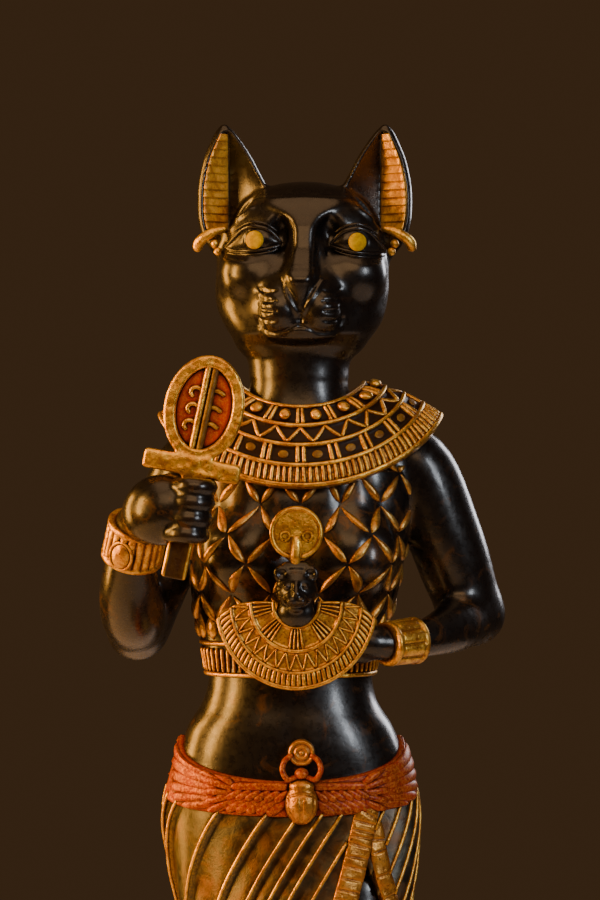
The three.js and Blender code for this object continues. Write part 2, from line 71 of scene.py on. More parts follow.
def mix(a, b, t):
    return a + (b - a) * t


def smooth(t):
    t = np.clip(t, 0, 1)
    return t * t * (3 - 2 * t)


def profile(rows):
    # A smooth curve through rows of [where, value, value ...]; gives the values in the last axis.
    table = np.array(rows, float)
    wheres, values = table[:, 0], table[:, 1:]
    slopes = np.gradient(values, wheres, axis=0)

    def at(where):
        where = np.clip(where, wheres[0], wheres[-1])
        i = np.clip(np.searchsorted(wheres, where, side="right") - 1, 0, len(wheres) - 2)
        span = (wheres[i + 1] - wheres[i])[..., None]
        t = (where - wheres[i])[..., None] / span
        rise = t * t * (3 - 2 * t)
        leave = t * (1 - t) ** 2 * span
        arrive = -t * t * (1 - t) * span
        eased = values[i] * (1 - rise) + values[i + 1] * rise
        return eased + slopes[i] * leave + slopes[i + 1] * arrive

    return at


def flowing(points, steps=8):
    # A smooth run of points through the given ones, each [x, y, z, radius ...].
    points = np.array(points, float)
    if len(points) < 3:
        return mix(points[0], points[-1], np.linspace(0, 1, steps + 1)[:, None])
    marks = np.linalg.norm(np.diff(points[:, :3], axis=0), axis=1) ** 0.5
    marks = np.concatenate([[0], np.cumsum(marks)])
    curve = profile(np.column_stack([marks, points]))
    runs = [np.linspace(a, b, steps, endpoint=False) for a, b in zip(marks, marks[1:])]
    return curve(np.append(np.concatenate(runs), marks[-1]))


def unit(vectors):
    return vectors / np.maximum(np.linalg.norm(vectors, axis=-1, keepdims=True), 1e-9)


def mirrored(rows, side, middle=0.0):
    # Rows of [distance from the middle, ...] set out on one side of it.
    return [[middle + side * row[0], *row[1:]] for row in rows]


def stacked(x, y, z):
    return np.stack(np.broadcast_arrays(x, y, z), axis=-1)


def lengthsAlong(points):
    # How far along a run of points each one lies.
    return np.concatenate([[0], np.cumsum(np.linalg.norm(np.diff(points, axis=0), axis=1))])


def roundTurns(count):
    return np.arange(count) / count * fullTurn


# Meshes: a shell is (points in figure mm, [arrays of faces])

def outward(shell):
    points, faceSets = shell
    volume = 0.0
    for faces in faceSets:
        for k in range(1, faces.shape[1] - 1):
            a, b, c = points[faces[:, 0]], points[faces[:, k]], points[faces[:, k + 1]]
            volume += np.einsum("ij,ij->", a, np.cross(b, c))
    if volume < 0:
        faceSets = [faces[:, ::-1] for faces in faceSets]
    return points, faceSets


def gridFaces(rows, columns, wrapRows=False, wrapColumns=False):
    index = np.arange(rows * columns).reshape(rows, columns)
    if wrapRows:
        index = np.concatenate([index, index[:1]])
    if wrapColumns:
        index = np.concatenate([index, index[:, :1]], axis=1)
    corners = index[:-1, :-1], index[:-1, 1:], index[1:, 1:], index[1:, :-1]
    return np.stack([corner.ravel() for corner in corners], axis=1)


def loft(rings):
    # Rings of points, closed by a fan at each end.
    rings = np.array(rings, float)
    count, sides = rings.shape[:2]
    points = np.concatenate([rings.reshape(-1, 3), rings[0].mean(0)[None], rings[-1].mean(0)[None]])
    here = np.arange(sides)
    there = (here + 1) % sides
    last = (count - 1) * sides
    foot = np.stack([np.full(sides, count * sides), there, here], axis=1)
    top = np.stack([np.full(sides, count * sides + 1), last + here, last + there], axis=1)
    wall = gridFaces(count, sides, wrapColumns=True)
    return outward((points, [wall, np.concatenate([foot, top])]))


def hoop(rings):
    # A band that closes on itself both ways.
    rings = np.array(rings, float)
    faces = gridFaces(*rings.shape[:2], wrapRows=True, wrapColumns=True)
    return outward((rings.reshape(-1, 3), [faces]))


def slab(face, back):
    # A closed sheet between two grids of points of the same shape.
    rows, columns = face.shape[:2]
    count = rows * columns
    front = gridFaces(rows, columns)
    index = np.arange(count).reshape(rows, columns)
    rim = np.concatenate([index[0, :], index[1:, -1], index[-1, -2::-1], index[-2:0:-1, 0]])
    after = np.roll(rim, -1)
    wall = np.stack([after, rim, rim + count, after + count], axis=1)
    points = np.concatenate([face.reshape(-1, 3), back.reshape(-1, 3)])
    return outward((points, [front, front[:, ::-1] + count, wall]))


def combined(shells):
    points = []
    faceSets = []
    start = 0
    for shellPoints, shellFaces in shells:
        points.append(shellPoints)
        faceSets.extend(faces + start for faces in shellFaces)
        start += len(shellPoints)
    return np.concatenate(points), faceSets


def newMesh(name, points, faceSets):
    mesh = bpy.data.meshes.new(name)
    sizes = np.concatenate([np.full(len(faces), faces.shape[1]) for faces in faceSets])
    loops = np.concatenate([faces.ravel() for faces in faceSets]).astype(np.int32)
    mesh.vertices.add(len(points))
    mesh.vertices.foreach_set("co", np.asarray(points, np.float32).ravel())
    mesh.loops.add(len(loops))
    mesh.loops.foreach_set("vertex_index", loops)
    mesh.polygons.add(len(sizes))
    starts = np.cumsum(sizes) - sizes
    mesh.polygons.foreach_set("loop_start", starts.astype(np.int32))
    mesh.update(calc_edges=True)
    mesh.polygons.foreach_set("use_smooth", np.ones(len(sizes), bool))
    return mesh


def toRow(points):
    moved = np.asarray(points, float) * scale
    return (moved + [0, figure["setBack"] * scale, lift]) / 1000


def newObject(name, data):
    made = bpy.data.objects.new(name, data)
    bpy.context.scene.collection.objects.link(made)
    return made


def setMark(mesh, name, kind, values):
    # kind: one float for each point, or a vector
    layer = mesh.attributes.new(name, kind, "POINT")
    field = "value" if kind == "FLOAT" else "vector"
    layer.data.foreach_set(field, np.asarray(values, np.float32).ravel())


triangleCounts = {}


def addPiece(name, shells, finish, marks=None, sharp=None):
    # marks: {attribute name: one value for each point}
    material, slotName = finishes[finish]
    points, faceSets = combined(shells)
    mesh = newMesh(name, toRow(points), faceSets)
    for markName, values in (marks or {}).items():
        setMark(mesh, markName, "FLOAT", values)
    if sharp:
        mesh.set_sharp_from_angle(angle=sharp * degree)
    mesh.materials.append(material)
    piece = newObject(name, mesh)
    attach(piece, bodyName)
    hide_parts(nodeName)
    triangleCounts[name] = sum(len(faces) * (faces.shape[1] - 2) for faces in faceSets)
    print("made:", name, triangleCounts[name], "triangles")


def tube(path, radius, sides, flat=1.0):
    # A closed round or oval bar along points [x, y, z], of one radius or one for each point.
    path = np.array(path, float)
    radius = np.broadcast_to(np.asarray(radius, float), len(path))
    along = unit(np.gradient(path, axis=0))
    side = unit(np.cross(along, [0.0, -1.0, 0.0]))
    rise = np.cross(side, along)
    turns = roundTurns(sides)
    ends = [(0.5, 0.87), (0.87, 0.5)]  # the domed ends: shrink, and how far out
    rings = [(0, shrink, -ahead) for shrink, ahead in ends]
    rings += [(i, 1, 0) for i in range(len(path))]
    rings += [(len(path) - 1, shrink, ahead) for shrink, ahead in reversed(ends)]
    made = []
    for i, shrink, ahead in rings:
        centre = path[i] + along[i] * ahead * radius[i]
        across = side[i] * radius[i] * shrink * np.cos(turns)[:, None]
        made.append(centre + across + rise[i] * radius[i] * shrink * flat * np.sin(turns)[:, None])
    return loft(made)


def dome(centre, radii):
    # A small ball with three radii.
    rows, sides = 12, 24
    theta = np.linspace(0.02, math.pi - 0.02, rows)[:, None]
    phi = roundTurns(sides)[None]
    x = np.sin(theta) * np.cos(phi) * radii[0]
    z = np.sin(theta) * np.sin(phi) * radii[2]
    return loft(stacked(x, np.cos(theta) * radii[1], z) + np.array(centre, float))


def spun(rows, sides, middle, across, up, out):
    # A disc or boss: a ring for each row of (size, height), with the height along out.
    turns = roundTurns(sides)[:, None]
    across, up, out = (np.array(way, float) for way in (across, up, out))
    rings = []
    for size, height in rows:
        ring = across * size * np.cos(turns) + up * size * np.sin(turns)
        rings.append(middle + ring + out * height)
    return loft(rings)


# Clay: solid forms held as distances on a grid, joined and cut softly, then skinned

farAway = 4.0


class Clay:
    def __init__(self, low, high, cell):
        self.low = np.array(low, float)
        self.cell = cell
        self.shape = tuple(int(n) for n in np.ceil((np.array(high) - self.low) / cell) + 1)
        self.field = np.full(self.shape, farAway, np.float32)

    def window(self, low, high, pad):
        first = np.floor((np.array(low) - pad - self.low) / self.cell).astype(int)
        last = np.ceil((np.array(high) + pad - self.low) / self.cell).astype(int) + 1
        first = np.clip(first, 0, self.shape)
        last = np.clip(last, first, self.shape)
        places = [self.low[i] + np.arange(first[i], last[i]) * self.cell for i in range(3)]
        places = [place.astype(np.float32) for place in places]
        axes = np.meshgrid(*places, indexing="ij", sparse=True)
        return tuple(slice(a, b) for a, b in zip(first, last)), axes

    def join(self, form, soft, sign):
        low, high, distance = form
        part, axes = self.window(low, high, max(soft, 2.0) + 0.5)
        here, new = self.field[part] * sign, distance(*axes)
        joined = np.minimum(here, new)
        if soft:
            joined -= np.maximum(soft - np.abs(here - new), 0) ** 2 / (4 * soft)
        self.field[part] = joined * sign

    def add(self, form, soft=0.0):
        self.join(form, soft, 1)

    def cut(self, form, soft=0.0):
        self.join(form, soft, -1)

    def soften(self):
        for axis in range(3):
            ahead = np.roll(self.field, -1, axis)
            behind = np.roll(self.field, 1, axis)
            self.field = self.field * 0.5 + (ahead + behind) * 0.25

    def value(self, points):
        # The distance at any points, by straight mixing between the grid's.
        spot = (np.asarray(points, float) - self.low) / self.cell
        spot = np.clip(spot, 0, np.array(self.shape) - 1.001)
        base = np.floor(spot).astype(int)
        t = spot - base
        total = 0
        for corner in np.ndindex(2, 2, 2):
            weight = np.prod(np.where(corner, t, 1 - t), axis=-1)
            i, j, k = (base + corner)[..., 0], (base + corner)[..., 1], (base + corner)[..., 2]
            total = total + self.field[i, j, k] * weight
        return total

    def reach(self, origins, directions, start, stop, step=0.2):
        # How far along each direction the skin lies: the first crossing in, from start to stop.
        ways = np.arange(start, stop, step if stop > start else -step)
        spots = origins[..., None, :] + directions[..., None, :] * ways[:, None]
        values = self.value(spots)
        inside = values < 0
        first = np.argmax(inside, axis=-1)
        first = np.clip(first, 1, len(ways) - 1)
        before = np.take_along_axis(values, first[..., None] - 1, -1)[..., 0]
        after = np.take_along_axis(values, first[..., None], -1)[..., 0]
        share = np.clip(before / np.where(before - after == 0, 1, before - after), 0, 1)
        return ways[first - 1] + (ways[1] - ways[0]) * share

    def front(self, x, z):
        # The skin's y at points (x, z), seen from the front.
        origins = stacked(x, 0.0, z)
        ahead = np.broadcast_to(np.array([0.0, 1.0, 0.0]), origins.shape)
        start = self.low[1]
        return self.reach(origins, ahead, start, start + (self.shape[1] - 1) * self.cell)

    def skin(self):
        field = np.clip(self.field, -farAway, farAway)
        for axis in range(3):
            edge = [slice(None)] * 3
            for end in (0, -1):
                edge[axis] = end
                field[tuple(edge)] = np.maximum(field[tuple(edge)], self.cell * 0.5)
        grid = openvdb.FloatGrid()
        grid.background = farAway
        grid.copyFromArray(np.ascontiguousarray(field, np.float32))
        grid.gridClass = openvdb.GridClass.LEVEL_SET
        points, quads = grid.convertToQuads()
        points = np.asarray(points, float) * self.cell + self.low
        return largestShell(points, np.asarray(quads, np.int64)[:, ::-1])


def largestShell(points, quads):
    # Keeps the one body that holds the most points, so no stray crumbs are left.
    label = np.arange(len(points))
    while True:
        least = label[quads].min(axis=1)
        new = label.copy()
        np.minimum.at(new, quads.ravel(), np.repeat(least, quads.shape[1]))
        new = new[new]
        if np.array_equal(new, label):
            break
        label = new
    kept = np.bincount(label).argmax()
    keep = label == kept
    faces = quads[keep[quads[:, 0]]]
    index = np.cumsum(keep) - 1
    return points[keep], [index[faces]]


def turned(axes, centre, turn):
    # Coordinates in a frame that is turned by degrees about x, then y, then z.
    x, y, z = (axis - np.float32(mid) for axis, mid in zip(axes, centre))
    a, b, c = (angle * degree for angle in turn)
    if a:
        y, z = y * math.cos(a) + z * math.sin(a), z * math.cos(a) - y * math.sin(a)
    if b:
        x, z = x * math.cos(b) - z * math.sin(b), z * math.cos(b) + x * math.sin(b)
    if c:
        x, y = x * math.cos(c) + y * math.sin(c), y * math.cos(c) - x * math.sin(c)
    return x, y, z


def ball(centre, radii, turn=(0, 0, 0)):
    radii = np.array(radii, float)
    centre = np.array(centre, float)
    bound = radii.max() if any(turn) else radii

    def distance(*axes):
        ways = turned(axes, centre, turn)
        near = np.sqrt(sum((way / radius) ** 2 for way, radius in zip(ways, radii)))
        steep = np.sqrt(sum((way / radius ** 2) ** 2 for way, radius in zip(ways, radii)))
        return near * (near - 1) / np.maximum(steep, 1e-6)

    return centre - bound, centre + bound, distance


def rope(points, steps=6, smoothly=True):
    # A round limb through [x, y, z, radius].
    row = flowing(points, steps) if smoothly else np.array(points, float)
    radii = row[:, 3:4]

    def distance(*axes):
        nearest = np.float32(np.inf)
        for a, b in zip(row, row[1:]):
            span = b[:3] - a[:3]
            length = max(float(span @ span), 1e-9)
            ways = [way - start for way, start in zip(axes, a)]
            t = np.clip(sum(way * part for way, part in zip(ways, span)) / length, 0, 1)
            gap = np.sqrt(sum((way - part * t) ** 2 for way, part in zip(ways, span)))
            nearest = np.minimum(nearest, gap - mix(a[3], b[3], t))
        return nearest

    return (row[:, :3] - radii).min(0), (row[:, :3] + radii).max(0), distance


def block(centre, half, turn=(0, 0, 0), edge=0.0):
    half = np.array(half, float)
    centre = np.array(centre, float)
    bound = np.linalg.norm(half) if any(turn) else half

    def distance(*axes):
        over = [np.abs(a) - (h - edge) for a, h in zip(turned(axes, centre, turn), half)]
        outside = np.sqrt(sum(np.maximum(way, 0) ** 2 for way in over))
        return outside + np.minimum(np.maximum(np.maximum(over[0], over[1]), over[2]), 0) - edge

    return centre - bound, centre + bound, distance


def lofted(curve, bottom, top, squareness, middle=(0, 0), side=1):
    # A form whose level cuts have middle, half width, and depth in front and behind, by height.
    widest = curve(np.linspace(bottom, top, 60))
    across = widest[:, 0] * side
    low = [middle[0] + (across - widest[:, 1]).min(), middle[1] - widest[:, 2].max(), bottom]
    high = [middle[0] + (across + widest[:, 1]).max(), middle[1] + widest[:, 3].max(), top]

    def distance(x, y, z):
        mid, half, front, back = np.moveaxis(curve(z).astype(np.float32), -1, 0)
        x = side * (x - middle[0]) - mid
        y = y - middle[1]
        depth = np.where(y < 0, front, back)
        size = np.abs(x / half) ** squareness + np.abs(y / depth) ** squareness
        size = size ** (1 / squareness)
        reach = np.sqrt(x * x + y * y)
        rim = np.where(size < 0.05, np.minimum(half, depth), reach / np.maximum(size, 0.05))
        level = (size - 1) * rim
        return np.maximum(level, np.maximum(z - top, bottom - z))

    return np.array(low), np.array(high), distance


# Materials: every pattern reads object coordinates, in millimetres after the mapping

def addNode(tree, kind, inputs=None, **fields):
    node = tree.nodes.new(kind)
    for field, value in fields.items():
        setattr(node, field, value)
    for key, value in (inputs or {}).items():
        socket = node.inputs[key]
        if isinstance(value, bpy.types.NodeSocket):
            tree.links.new(value, socket)
        else:
            socket.default_value = value
    return node


class Finish:
    def __init__(self, name):
        self.material = bpy.data.materials.new(name)
        self.material.use_nodes = True
        self.tree = self.material.node_tree
        self.tree.nodes.clear()
        place = self.node("TexCoord", {}, "Object")
        self.spot = self.node("Mapping", {"Vector": place, "Scale": (1000, 1000, 1000)})

    def node(self, kind, inputs, output=0, **fields):
        return addNode(self.tree, "ShaderNode" + kind, inputs, **fields).outputs[output]

    def noise(self, size, detail=3.0, roughness=0.55, distortion=0.0):
        return self.node("TexNoise", {
            "Vector": self.spot,
            "Scale": 1 / size,
            "Detail": detail,
            "Roughness": roughness,
            "Distortion": distortion,
        })

    def between(self, value, low, high, start=0.0, stop=1.0):
        return self.node("MapRange", {0: value, 1: low, 2: high, 3: start, 4: stop}, clamp=True)

    def sums(self, operation, a, b):
        return self.node("Math", {0: a, 1: b}, operation=operation)

    def times(self, a, b):
        return self.sums("MULTIPLY", a, b)

    def blend(self, share, a, b):
        return self.node("Mix", {0: share, 6: rgba(a), 7: rgba(b)}, 2, data_type="RGBA")

    def openness(self, hollow, speck, amount):
        # 0 deep in a recess that is narrower than hollow, 1 in the open, broken up by the grains.
        # Ambient occlusion: the mask by which the finishes paint shade into recesses
        open_ = self.node("AmbientOcclusion", {"Distance": hollow / 1000}, "AO", samples=8)
        return self.sums("ADD", open_, self.between(speck, 0.3, 0.7, -amount, amount))

    def mark(self, name):
        return self.node("Attribute", {}, "Fac", attribute_name=name)

    def bump(self, height, depth, below=None):
        inputs = {"Height": height, "Distance": depth / 1000, "Strength": 1.0}
        if below is not None:
            inputs["Normal"] = below
        return self.node("Bump", inputs)

    def finish(self, inputs):
        shader = self.node("BsdfPrincipled", inputs)
        addNode(self.tree, "ShaderNodeOutputMaterial", {"Surface": shader})
        return self.material


def rgba(colour):
    if isinstance(colour, bpy.types.NodeSocket):
        return colour
    return (*colour, 1.0)


blackFinish = {
    "colour": (0.0045, 0.004, 0.0045),
    "rub": (0.16, 0.075, 0.022),  # gold and brown paint rubbed into the black
    "roughness": (0.22, 0.36),
    "swell": (9, 0.1),  # how wide and how deep the slow waves are, mm
    "grain": (1.4, 0.03),
    # How strongly each kind is rubbed, and from which noise level on
    "kinds": {
        "blackGloss": (0.06, 0.56),
        "blackRubbed": (0.5, 0.56),
        "blackQuilt": (0.6, 0.5),
        "blackLion": (0.35, 0.6),
    },
}


def blackGloss(name):
    form = blackFinish
    rubbed, spread = form["kinds"][name]
    made = Finish(name)
    broad = made.noise(form["swell"][0], 4, 0.6, 0.4)
    fine = made.noise(form["grain"][0], 4, 0.65)
    edge = made.between(made.node("NewGeometry", {}, "Pointiness"), 0.515, 0.57)
    patch = made.between(made.noise(5, 5, 0.68, 1.2), spread, spread + 0.16)
    rub = made.times(made.sums("MAXIMUM", made.times(edge, 0.35), patch), rubbed)
    low, high = form["roughness"]
    return made.finish({
        "Base Color": made.blend(rub, form["colour"], form["rub"]),
        "Metallic": made.times(rub, 0.8),
        "Roughness": made.between(fine, 0.3, 0.7, low, high),
        "Normal": made.bump(fine, form["grain"][1], made.bump(broad, form["swell"][1])),
        "Coat Weight": 0.3,
        "Coat Roughness": 0.2,
    })


goldFinish = {
    "worn": (0.38, 0.14, 0.02),
    "washAndShade": (0.014, 0.005, 0.002),  # brown antiquing and painted shade in the hollows
    "speck": (0.45, 0.08),  # how wide and how deep the grains are, mm
    "swell": (1.6, 0.14),
    # For each kind: how far the wash and painted shade reach in mm, bright colour, where they end,
    # metal
    "kinds": {
        "antiqueGold": (1.1, (0.95, 0.6, 0.095), 0.75, 0.8),
        "brightGold": (0.6, (1.0, 0.65, 0.1), 0.62, 0.8),
        "earPaint": (0.5, (0.95, 0.54, 0.07), 0.56, 0.35),
        "crossGold": (0.8, (0.98, 0.62, 0.09), 0.7, 0.8),
        "paleGold": (0.6, (0.95, 0.62, 0.11), 0.7, 0.8),
        "dullGold": (0.8, (0.66, 0.44, 0.12), 0.72, 0.8),
        "sashGold": (0.5, (0.62, 0.32, 0.06), 0.78, 0.8),
    },
}


def antiqueGold(name):
    form = goldFinish
    hollow, bright, washAndShade, metal = form["kinds"][name]
    made = Finish(name)
    tone = made.between(made.noise(2.2, 4, 0.64, 0.6), 0.4, 0.62, 0.25, 1.0)
    grime = made.between(made.noise(1.1, 5, 0.72, 0.8), 0.52, 0.7, 0.0, 0.22)
    speck = made.noise(form["speck"][0], 3, 0.7)
    # Ambient occlusion darkens the gold in recesses: painted shade, together with the brown
    # antiquing
    shade = made.sums("SUBTRACT", made.openness(hollow, speck, 0.16), grime)
    polish = made.times(made.between(shade, washAndShade - 0.08, washAndShade + 0.24), tone)
    leaf = made.blend(polish, form["worn"], bright)
    # In the hollows the gold takes the wash colour: painted shade with brown antiquing
    outOfWashAndShade = made.between(shade, washAndShade - 0.34, washAndShade + 0.1)
    # Points marked floor take more of that painted shade and antiquing, in part or in full
    outOfWashAndShade = made.times(outOfWashAndShade, made.sums("SUBTRACT", 1.0, made.mark("floor")))
    dull = made.sums("SUBTRACT", speck, made.times(outOfWashAndShade, 0.25))
    swell = made.bump(made.noise(form["swell"][0], 3, 0.6), form["swell"][1])
    return made.finish({
        "Base Color": made.blend(outOfWashAndShade, form["washAndShade"], leaf),
        "Metallic": made.between(outOfWashAndShade, 0, 1, 0.1, metal),
        "Roughness": made.between(dull, 0.1, 0.7, 0.26, 0.5),
        "Normal": made.bump(speck, form["speck"][1], swell),
        "Specular IOR Level": made.between(outOfWashAndShade, 0, 1, 0.2, 0.5),
        "Coat Weight": made.between(outOfWashAndShade, 0, 1, 0.02, 0.15),
        "Coat Roughness": 0.25,
    })


redFinish = {
    # painted shade in the gaps between feathers and other recesses
    "paintedShade": (0.012, 0.002, 0.0015),
    "brushed": (0.7, 0.26, 0.04),  # gold dry brushed over the ridges
    "speck": (0.5, 0.03),  # how wide and how deep the grains are, mm
    # For each kind: how far the painted shade reaches in mm, deep red, bright red
    "kinds": {
        "redEnamel": (1.0, (0.14, 0.009, 0.001), (0.3, 0.026, 0.0015)),
        "redFeathers": (0.7, (0.14, 0.009, 0.001), (0.3, 0.026, 0.0015)),
        "redPanel": (0.9, (0.34, 0.03, 0.004), (0.5, 0.055, 0.008)),
    },
}


def redEnamel(name):
    form = redFinish
    hollow, deep, bright = form["kinds"][name]
    made = Finish(name)
    tone = made.between(made.noise(3.2, 4, 0.6), 0.35, 0.65)
    speck = made.noise(form["speck"][0], 3, 0.7)
    shade = made.openness(hollow, speck, 0.06)
    paint = made.blend(tone, deep, bright)
    # Painted shade: the enamel darkens where it lies in a recess
    colour = made.blend(made.between(shade, 0.5, 0.94), form["paintedShade"], paint)
    ridge = made.times(made.between(shade, 0.84, 1.04), made.between(speck, 0.4, 0.62))
    return made.finish({
        "Base Color": made.blend(made.times(ridge, 0.6), colour, form["brushed"]),
        "Metallic": made.times(ridge, 0.5),
        "Roughness": made.between(speck, 0.3, 0.7, 0.32, 0.5),
        "Normal": made.bump(speck, form["speck"][1]),
        "Specular IOR Level": 0.2,
        "Coat Weight": 0.05,
        "Coat Roughness": 0.2,
    })


irisFinish = {"deep": (0.36, 0.24, 0.0002), "bright": (0.56, 0.4, 0.0003)}


def irisPaint(name):
    made = Finish(name)
    tone = made.between(made.noise(0.9, 3, 0.6), 0.35, 0.65)
    return made.finish({
        "Base Color": made.blend(tone, irisFinish["deep"], irisFinish["bright"]),
        "Roughness": 0.5,
        "Specular IOR Level": 0.04,
    })


skirtFinish = {
    "pewter": ((0.03, 0.027, 0.019), (0.075, 0.069, 0.048)),
    "bronze": ((0.045, 0.02, 0.007), (0.115, 0.052, 0.014)),
    # painted shadow in the hollows beside each pleat's fall
    "paintedShade": (0.018, 0.008, 0.003),
    "ridge": (0.95, 0.6, 0.095),  # gold rubbed on the ridges
    "hollow": 1.6,  # mm, the reach of the painted shade
}


def patina(name):
    form = skirtFinish
    made = Finish(name)
    broad = made.noise(9, 4, 0.62, 0.8)
    mid = made.noise(2.8, 4, 0.6, 0.6)
    speck = made.noise(0.5, 3, 0.7)
    tone = made.between(mid, 0.35, 0.65)
    pewter, bronze = (made.blend(tone, *form[metal]) for metal in ("pewter", "bronze"))
    cloth = made.blend(made.between(broad, 0.44, 0.64), pewter, bronze)
    ridge = made.times(made.mark("ridge"), made.between(speck, 0.3, 0.6, 0, 0.4))
    cloth = made.blend(ridge, cloth, form["ridge"])
    # Painted shade: the cloth darkens where it lies in a hollow
    shade = made.openness(form["hollow"], speck, 0.12)
    return made.finish({
        "Base Color": made.blend(made.between(shade, 0.3, 0.8), form["paintedShade"], cloth),
        "Metallic": made.between(shade, 0.3, 0.8, 0.2, 0.72),
        "Roughness": made.between(mid, 0.3, 0.7, 0.28, 0.5),
        "Normal": made.bump(speck, 0.04, made.bump(mid, 0.1)),
        "Coat Weight": 0.15,
        "Coat Roughness": 0.25,
    })


finishes = {}  # by name: the material and its slot


def makeFinishes():
    for make, names, slotName in (
        (blackGloss, blackFinish["kinds"], "black_gloss"),
        (antiqueGold, goldFinish["kinds"], "antique_gold"),
        (redEnamel, redFinish["kinds"], "red_enamel"),
        (irisPaint, ["irisPaint"], "antique_gold"),
        (patina, ["skirtPatina"], "skirt_patina"),
    ):
        finishes.update({name: (make(name), slotName) for name in names})
    report("finishes")


# Her body, by height: middle, half width, depth in front and depth behind

trunkRows = [
    [128, -1.8, 21, 11, 14],
    [140, -1.9, 22.3, 12.6, 16],
    [146.7, -1.8, 22, 13, 15.2],
    [151, -2.1, 20.9, 13.2, 13.6],
    [154.5, -2.3, 19.6, 13, 12.6],
    [158.6, -2.3, 17, 12.4, 11.4],
    [165, -2.2, 15.7, 12, 10.8],
    [170, -2.1, 16.6, 12.2, 11.2],
    [176, -1.7, 18.2, 12.8, 12.2],
    [186, -1, 19.8, 13, 13.4],
    [196, -0.4, 20.8, 12.6, 14],
    [204, -0.2, 20.4, 11.8, 13.4],
    [212, -0.5, 14.4, 10.4, 11.4],
    [218, -0.6, 10, 9.5, 10.4],
    [226, -0.5, 9.6, 9.3, 10.2],
    [238, 0, 8.6, 8, 9],
]
trunkAt = profile(trunkRows)
trunkSquareness = 2.25


headForm = {
    "box": ((-22.4, -22, 209), (23.6, 19, 271.5)),
    "cell": 0.32,
    "earMiddle": 0.5,
    "eyeMiddle": 0.75,
    "noseMiddle": -0.4,
    # Swells and hollows: middle, radii
    "crown": ([0.5, 0.5, 250], [15.6, 13.2, 9.2]),
    "snout": ([-0.4, -10.6, 236.2], [8.6, 7.2, 6.6]),
    "chin": ([-0.4, -12.8, 230.6], [7.2, 4, 2.3]),
    "cheek": ([10.6, -8.6, 241.2], [5.2, 4.3, 4.6]),
    "sockets": [  # and turn, softness
        ([4.8, -14.4, 248.2], [2.8, 4.6, 4.6], (0, -14, 0), 1.5),
        ([9.4, -14.6, 248.1], [6, 3.9, 3.2], (0, 6, 20), 0.9),
    ],
    "earFeet": [  # ridges from an ear's foot up its front, as [distance, z, radius]
        [[13.4, 251.4, 0.5], [11.4, 254.4, 0.75], [8.4, 257, 0.5]],
        [[14.8, 249.6, 0.3], [13.2, 251.2, 0.45], [10.2, 253.4, 0.35]],
    ],
    "irisRadius": 1.78,
    "irisSpread": 9.75,
    "irisHeight": 247.1,
    "tilt": 0.02,  # her left eye sits this much lower for each mm outwards
}

# The skull by height: middle, half width, depth in front and behind
skullRows = [
    [221, -0.6, 9.4, 9.2, 10.2],
    [224, -0.6, 9.7, 9.4, 10.6],
    [225.2, -0.5, 10.3, 9.6, 11],
    [226.2, -0.4, 11.4, 9.9, 11.6],
    [227.4, -0.3, 12.4, 10.4, 12.4],
    [228.6, -0.2, 13.1, 11.6, 13.2],
    [229.4, -0.1, 13.6, 12.5, 13.8],
    [231, 0, 14.7, 12.8, 14.6],
    [233, 0, 15.7, 12.9, 15.4],
    [235.4, -0.1, 16.4, 12.9, 15.9],
    [238, 0, 16.7, 12.9, 16.1],
    [242, 0.1, 16.6, 12.9, 16.1],
    [247, 0.3, 16.6, 12.7, 15.8],
    [250.5, 0.4, 16, 12.5, 15],
    [253.5, 0.5, 14.3, 11.6, 12.9],
    [256, 0.5, 11.6, 9.6, 10.6],
]
skullAt = profile(skullRows)

# The bridge of her nose, which opens into the forehead, and her nose, by height as above
bridgeRows = [
    [239.8, -0.4, 4.1, 19.2, 4],
    [240.6, -0.4, 4, 18.8, 4],
    [241.4, -0.35, 3.8, 18.1, 4],
    [243, -0.1, 3.3, 16.7, 4],
    [244.2, 0, 3.2, 15.8, 4],
    [245.5, 0.2, 3.1, 15.1, 4],
    [248, 0.3, 3.1, 14.5, 4],
    [249.8, 0.4, 3.4, 14.1, 4],
    [251.2, 0.5, 4.5, 13.4, 4],
    [252.4, 0.5, 6.6, 12.7, 4],
    [253.8, 0.5, 9, 11.7, 4],
    [255.6, 0.5, 9, 10.2, 4],
]
noseRows = [
    [233.2, -0.3, 0.3, 16.9, 3],
    [235, -0.3, 1.3, 17.7, 3],
    [236.8, -0.3, 2.4, 18.5, 3],
    [238.4, -0.35, 3.4, 19.1, 3],
    [239.6, -0.4, 4, 19.4, 3],
    [240.4, -0.4, 3.9, 18.9, 3],
    [241.2, -0.4, 3.4, 18.1, 3],
    [242.1, -0.35, 2.8, 17.1, 3],
]

# How far forward the eyes swell, by the distance from the middle between them
eyeDepth = profile([
    [2, -9.8], [4, -10.7], [6, -11.6], [8, -12], [10, -11.75], [12, -10.7], [14, -9], [16, -6.7],
])
# The lines round an eye as [distance from that middle, z]
eyeLines = {
    "upper": [
        [4.7, 246.8], [5.9, 248.1], [7.1, 249.05], [8.2, 249.45],
        [9.8, 249.7], [11.9, 249.2], [13.5, 247.7], [15.3, 245.8],
    ],
    "fold": [
        [5.6, 248.95], [7.1, 249.95], [8.4, 250.35], [9.8, 250.5], [11.6, 250.1], [13.6, 248.8],
    ],
    "lower": [
        [4.7, 246.4], [5.5, 246.05], [6.9, 245.6], [9, 245.2],
        [11, 245.1], [13.2, 245.15], [15.3, 245.7],
    ],
    "bag": [[5.4, 245.5], [6.9, 244.9], [9, 244.45], [11, 244.35], [13.2, 244.4], [15, 244.8]],
}
# The radius of each line, and how far its middle lies from the swell; negative in front
lidForm = {"upper": (0.46, -0.22), "fold": (0.3, -0.3), "lower": (0.36, -0.2), "bag": (0.27, -0.08)}

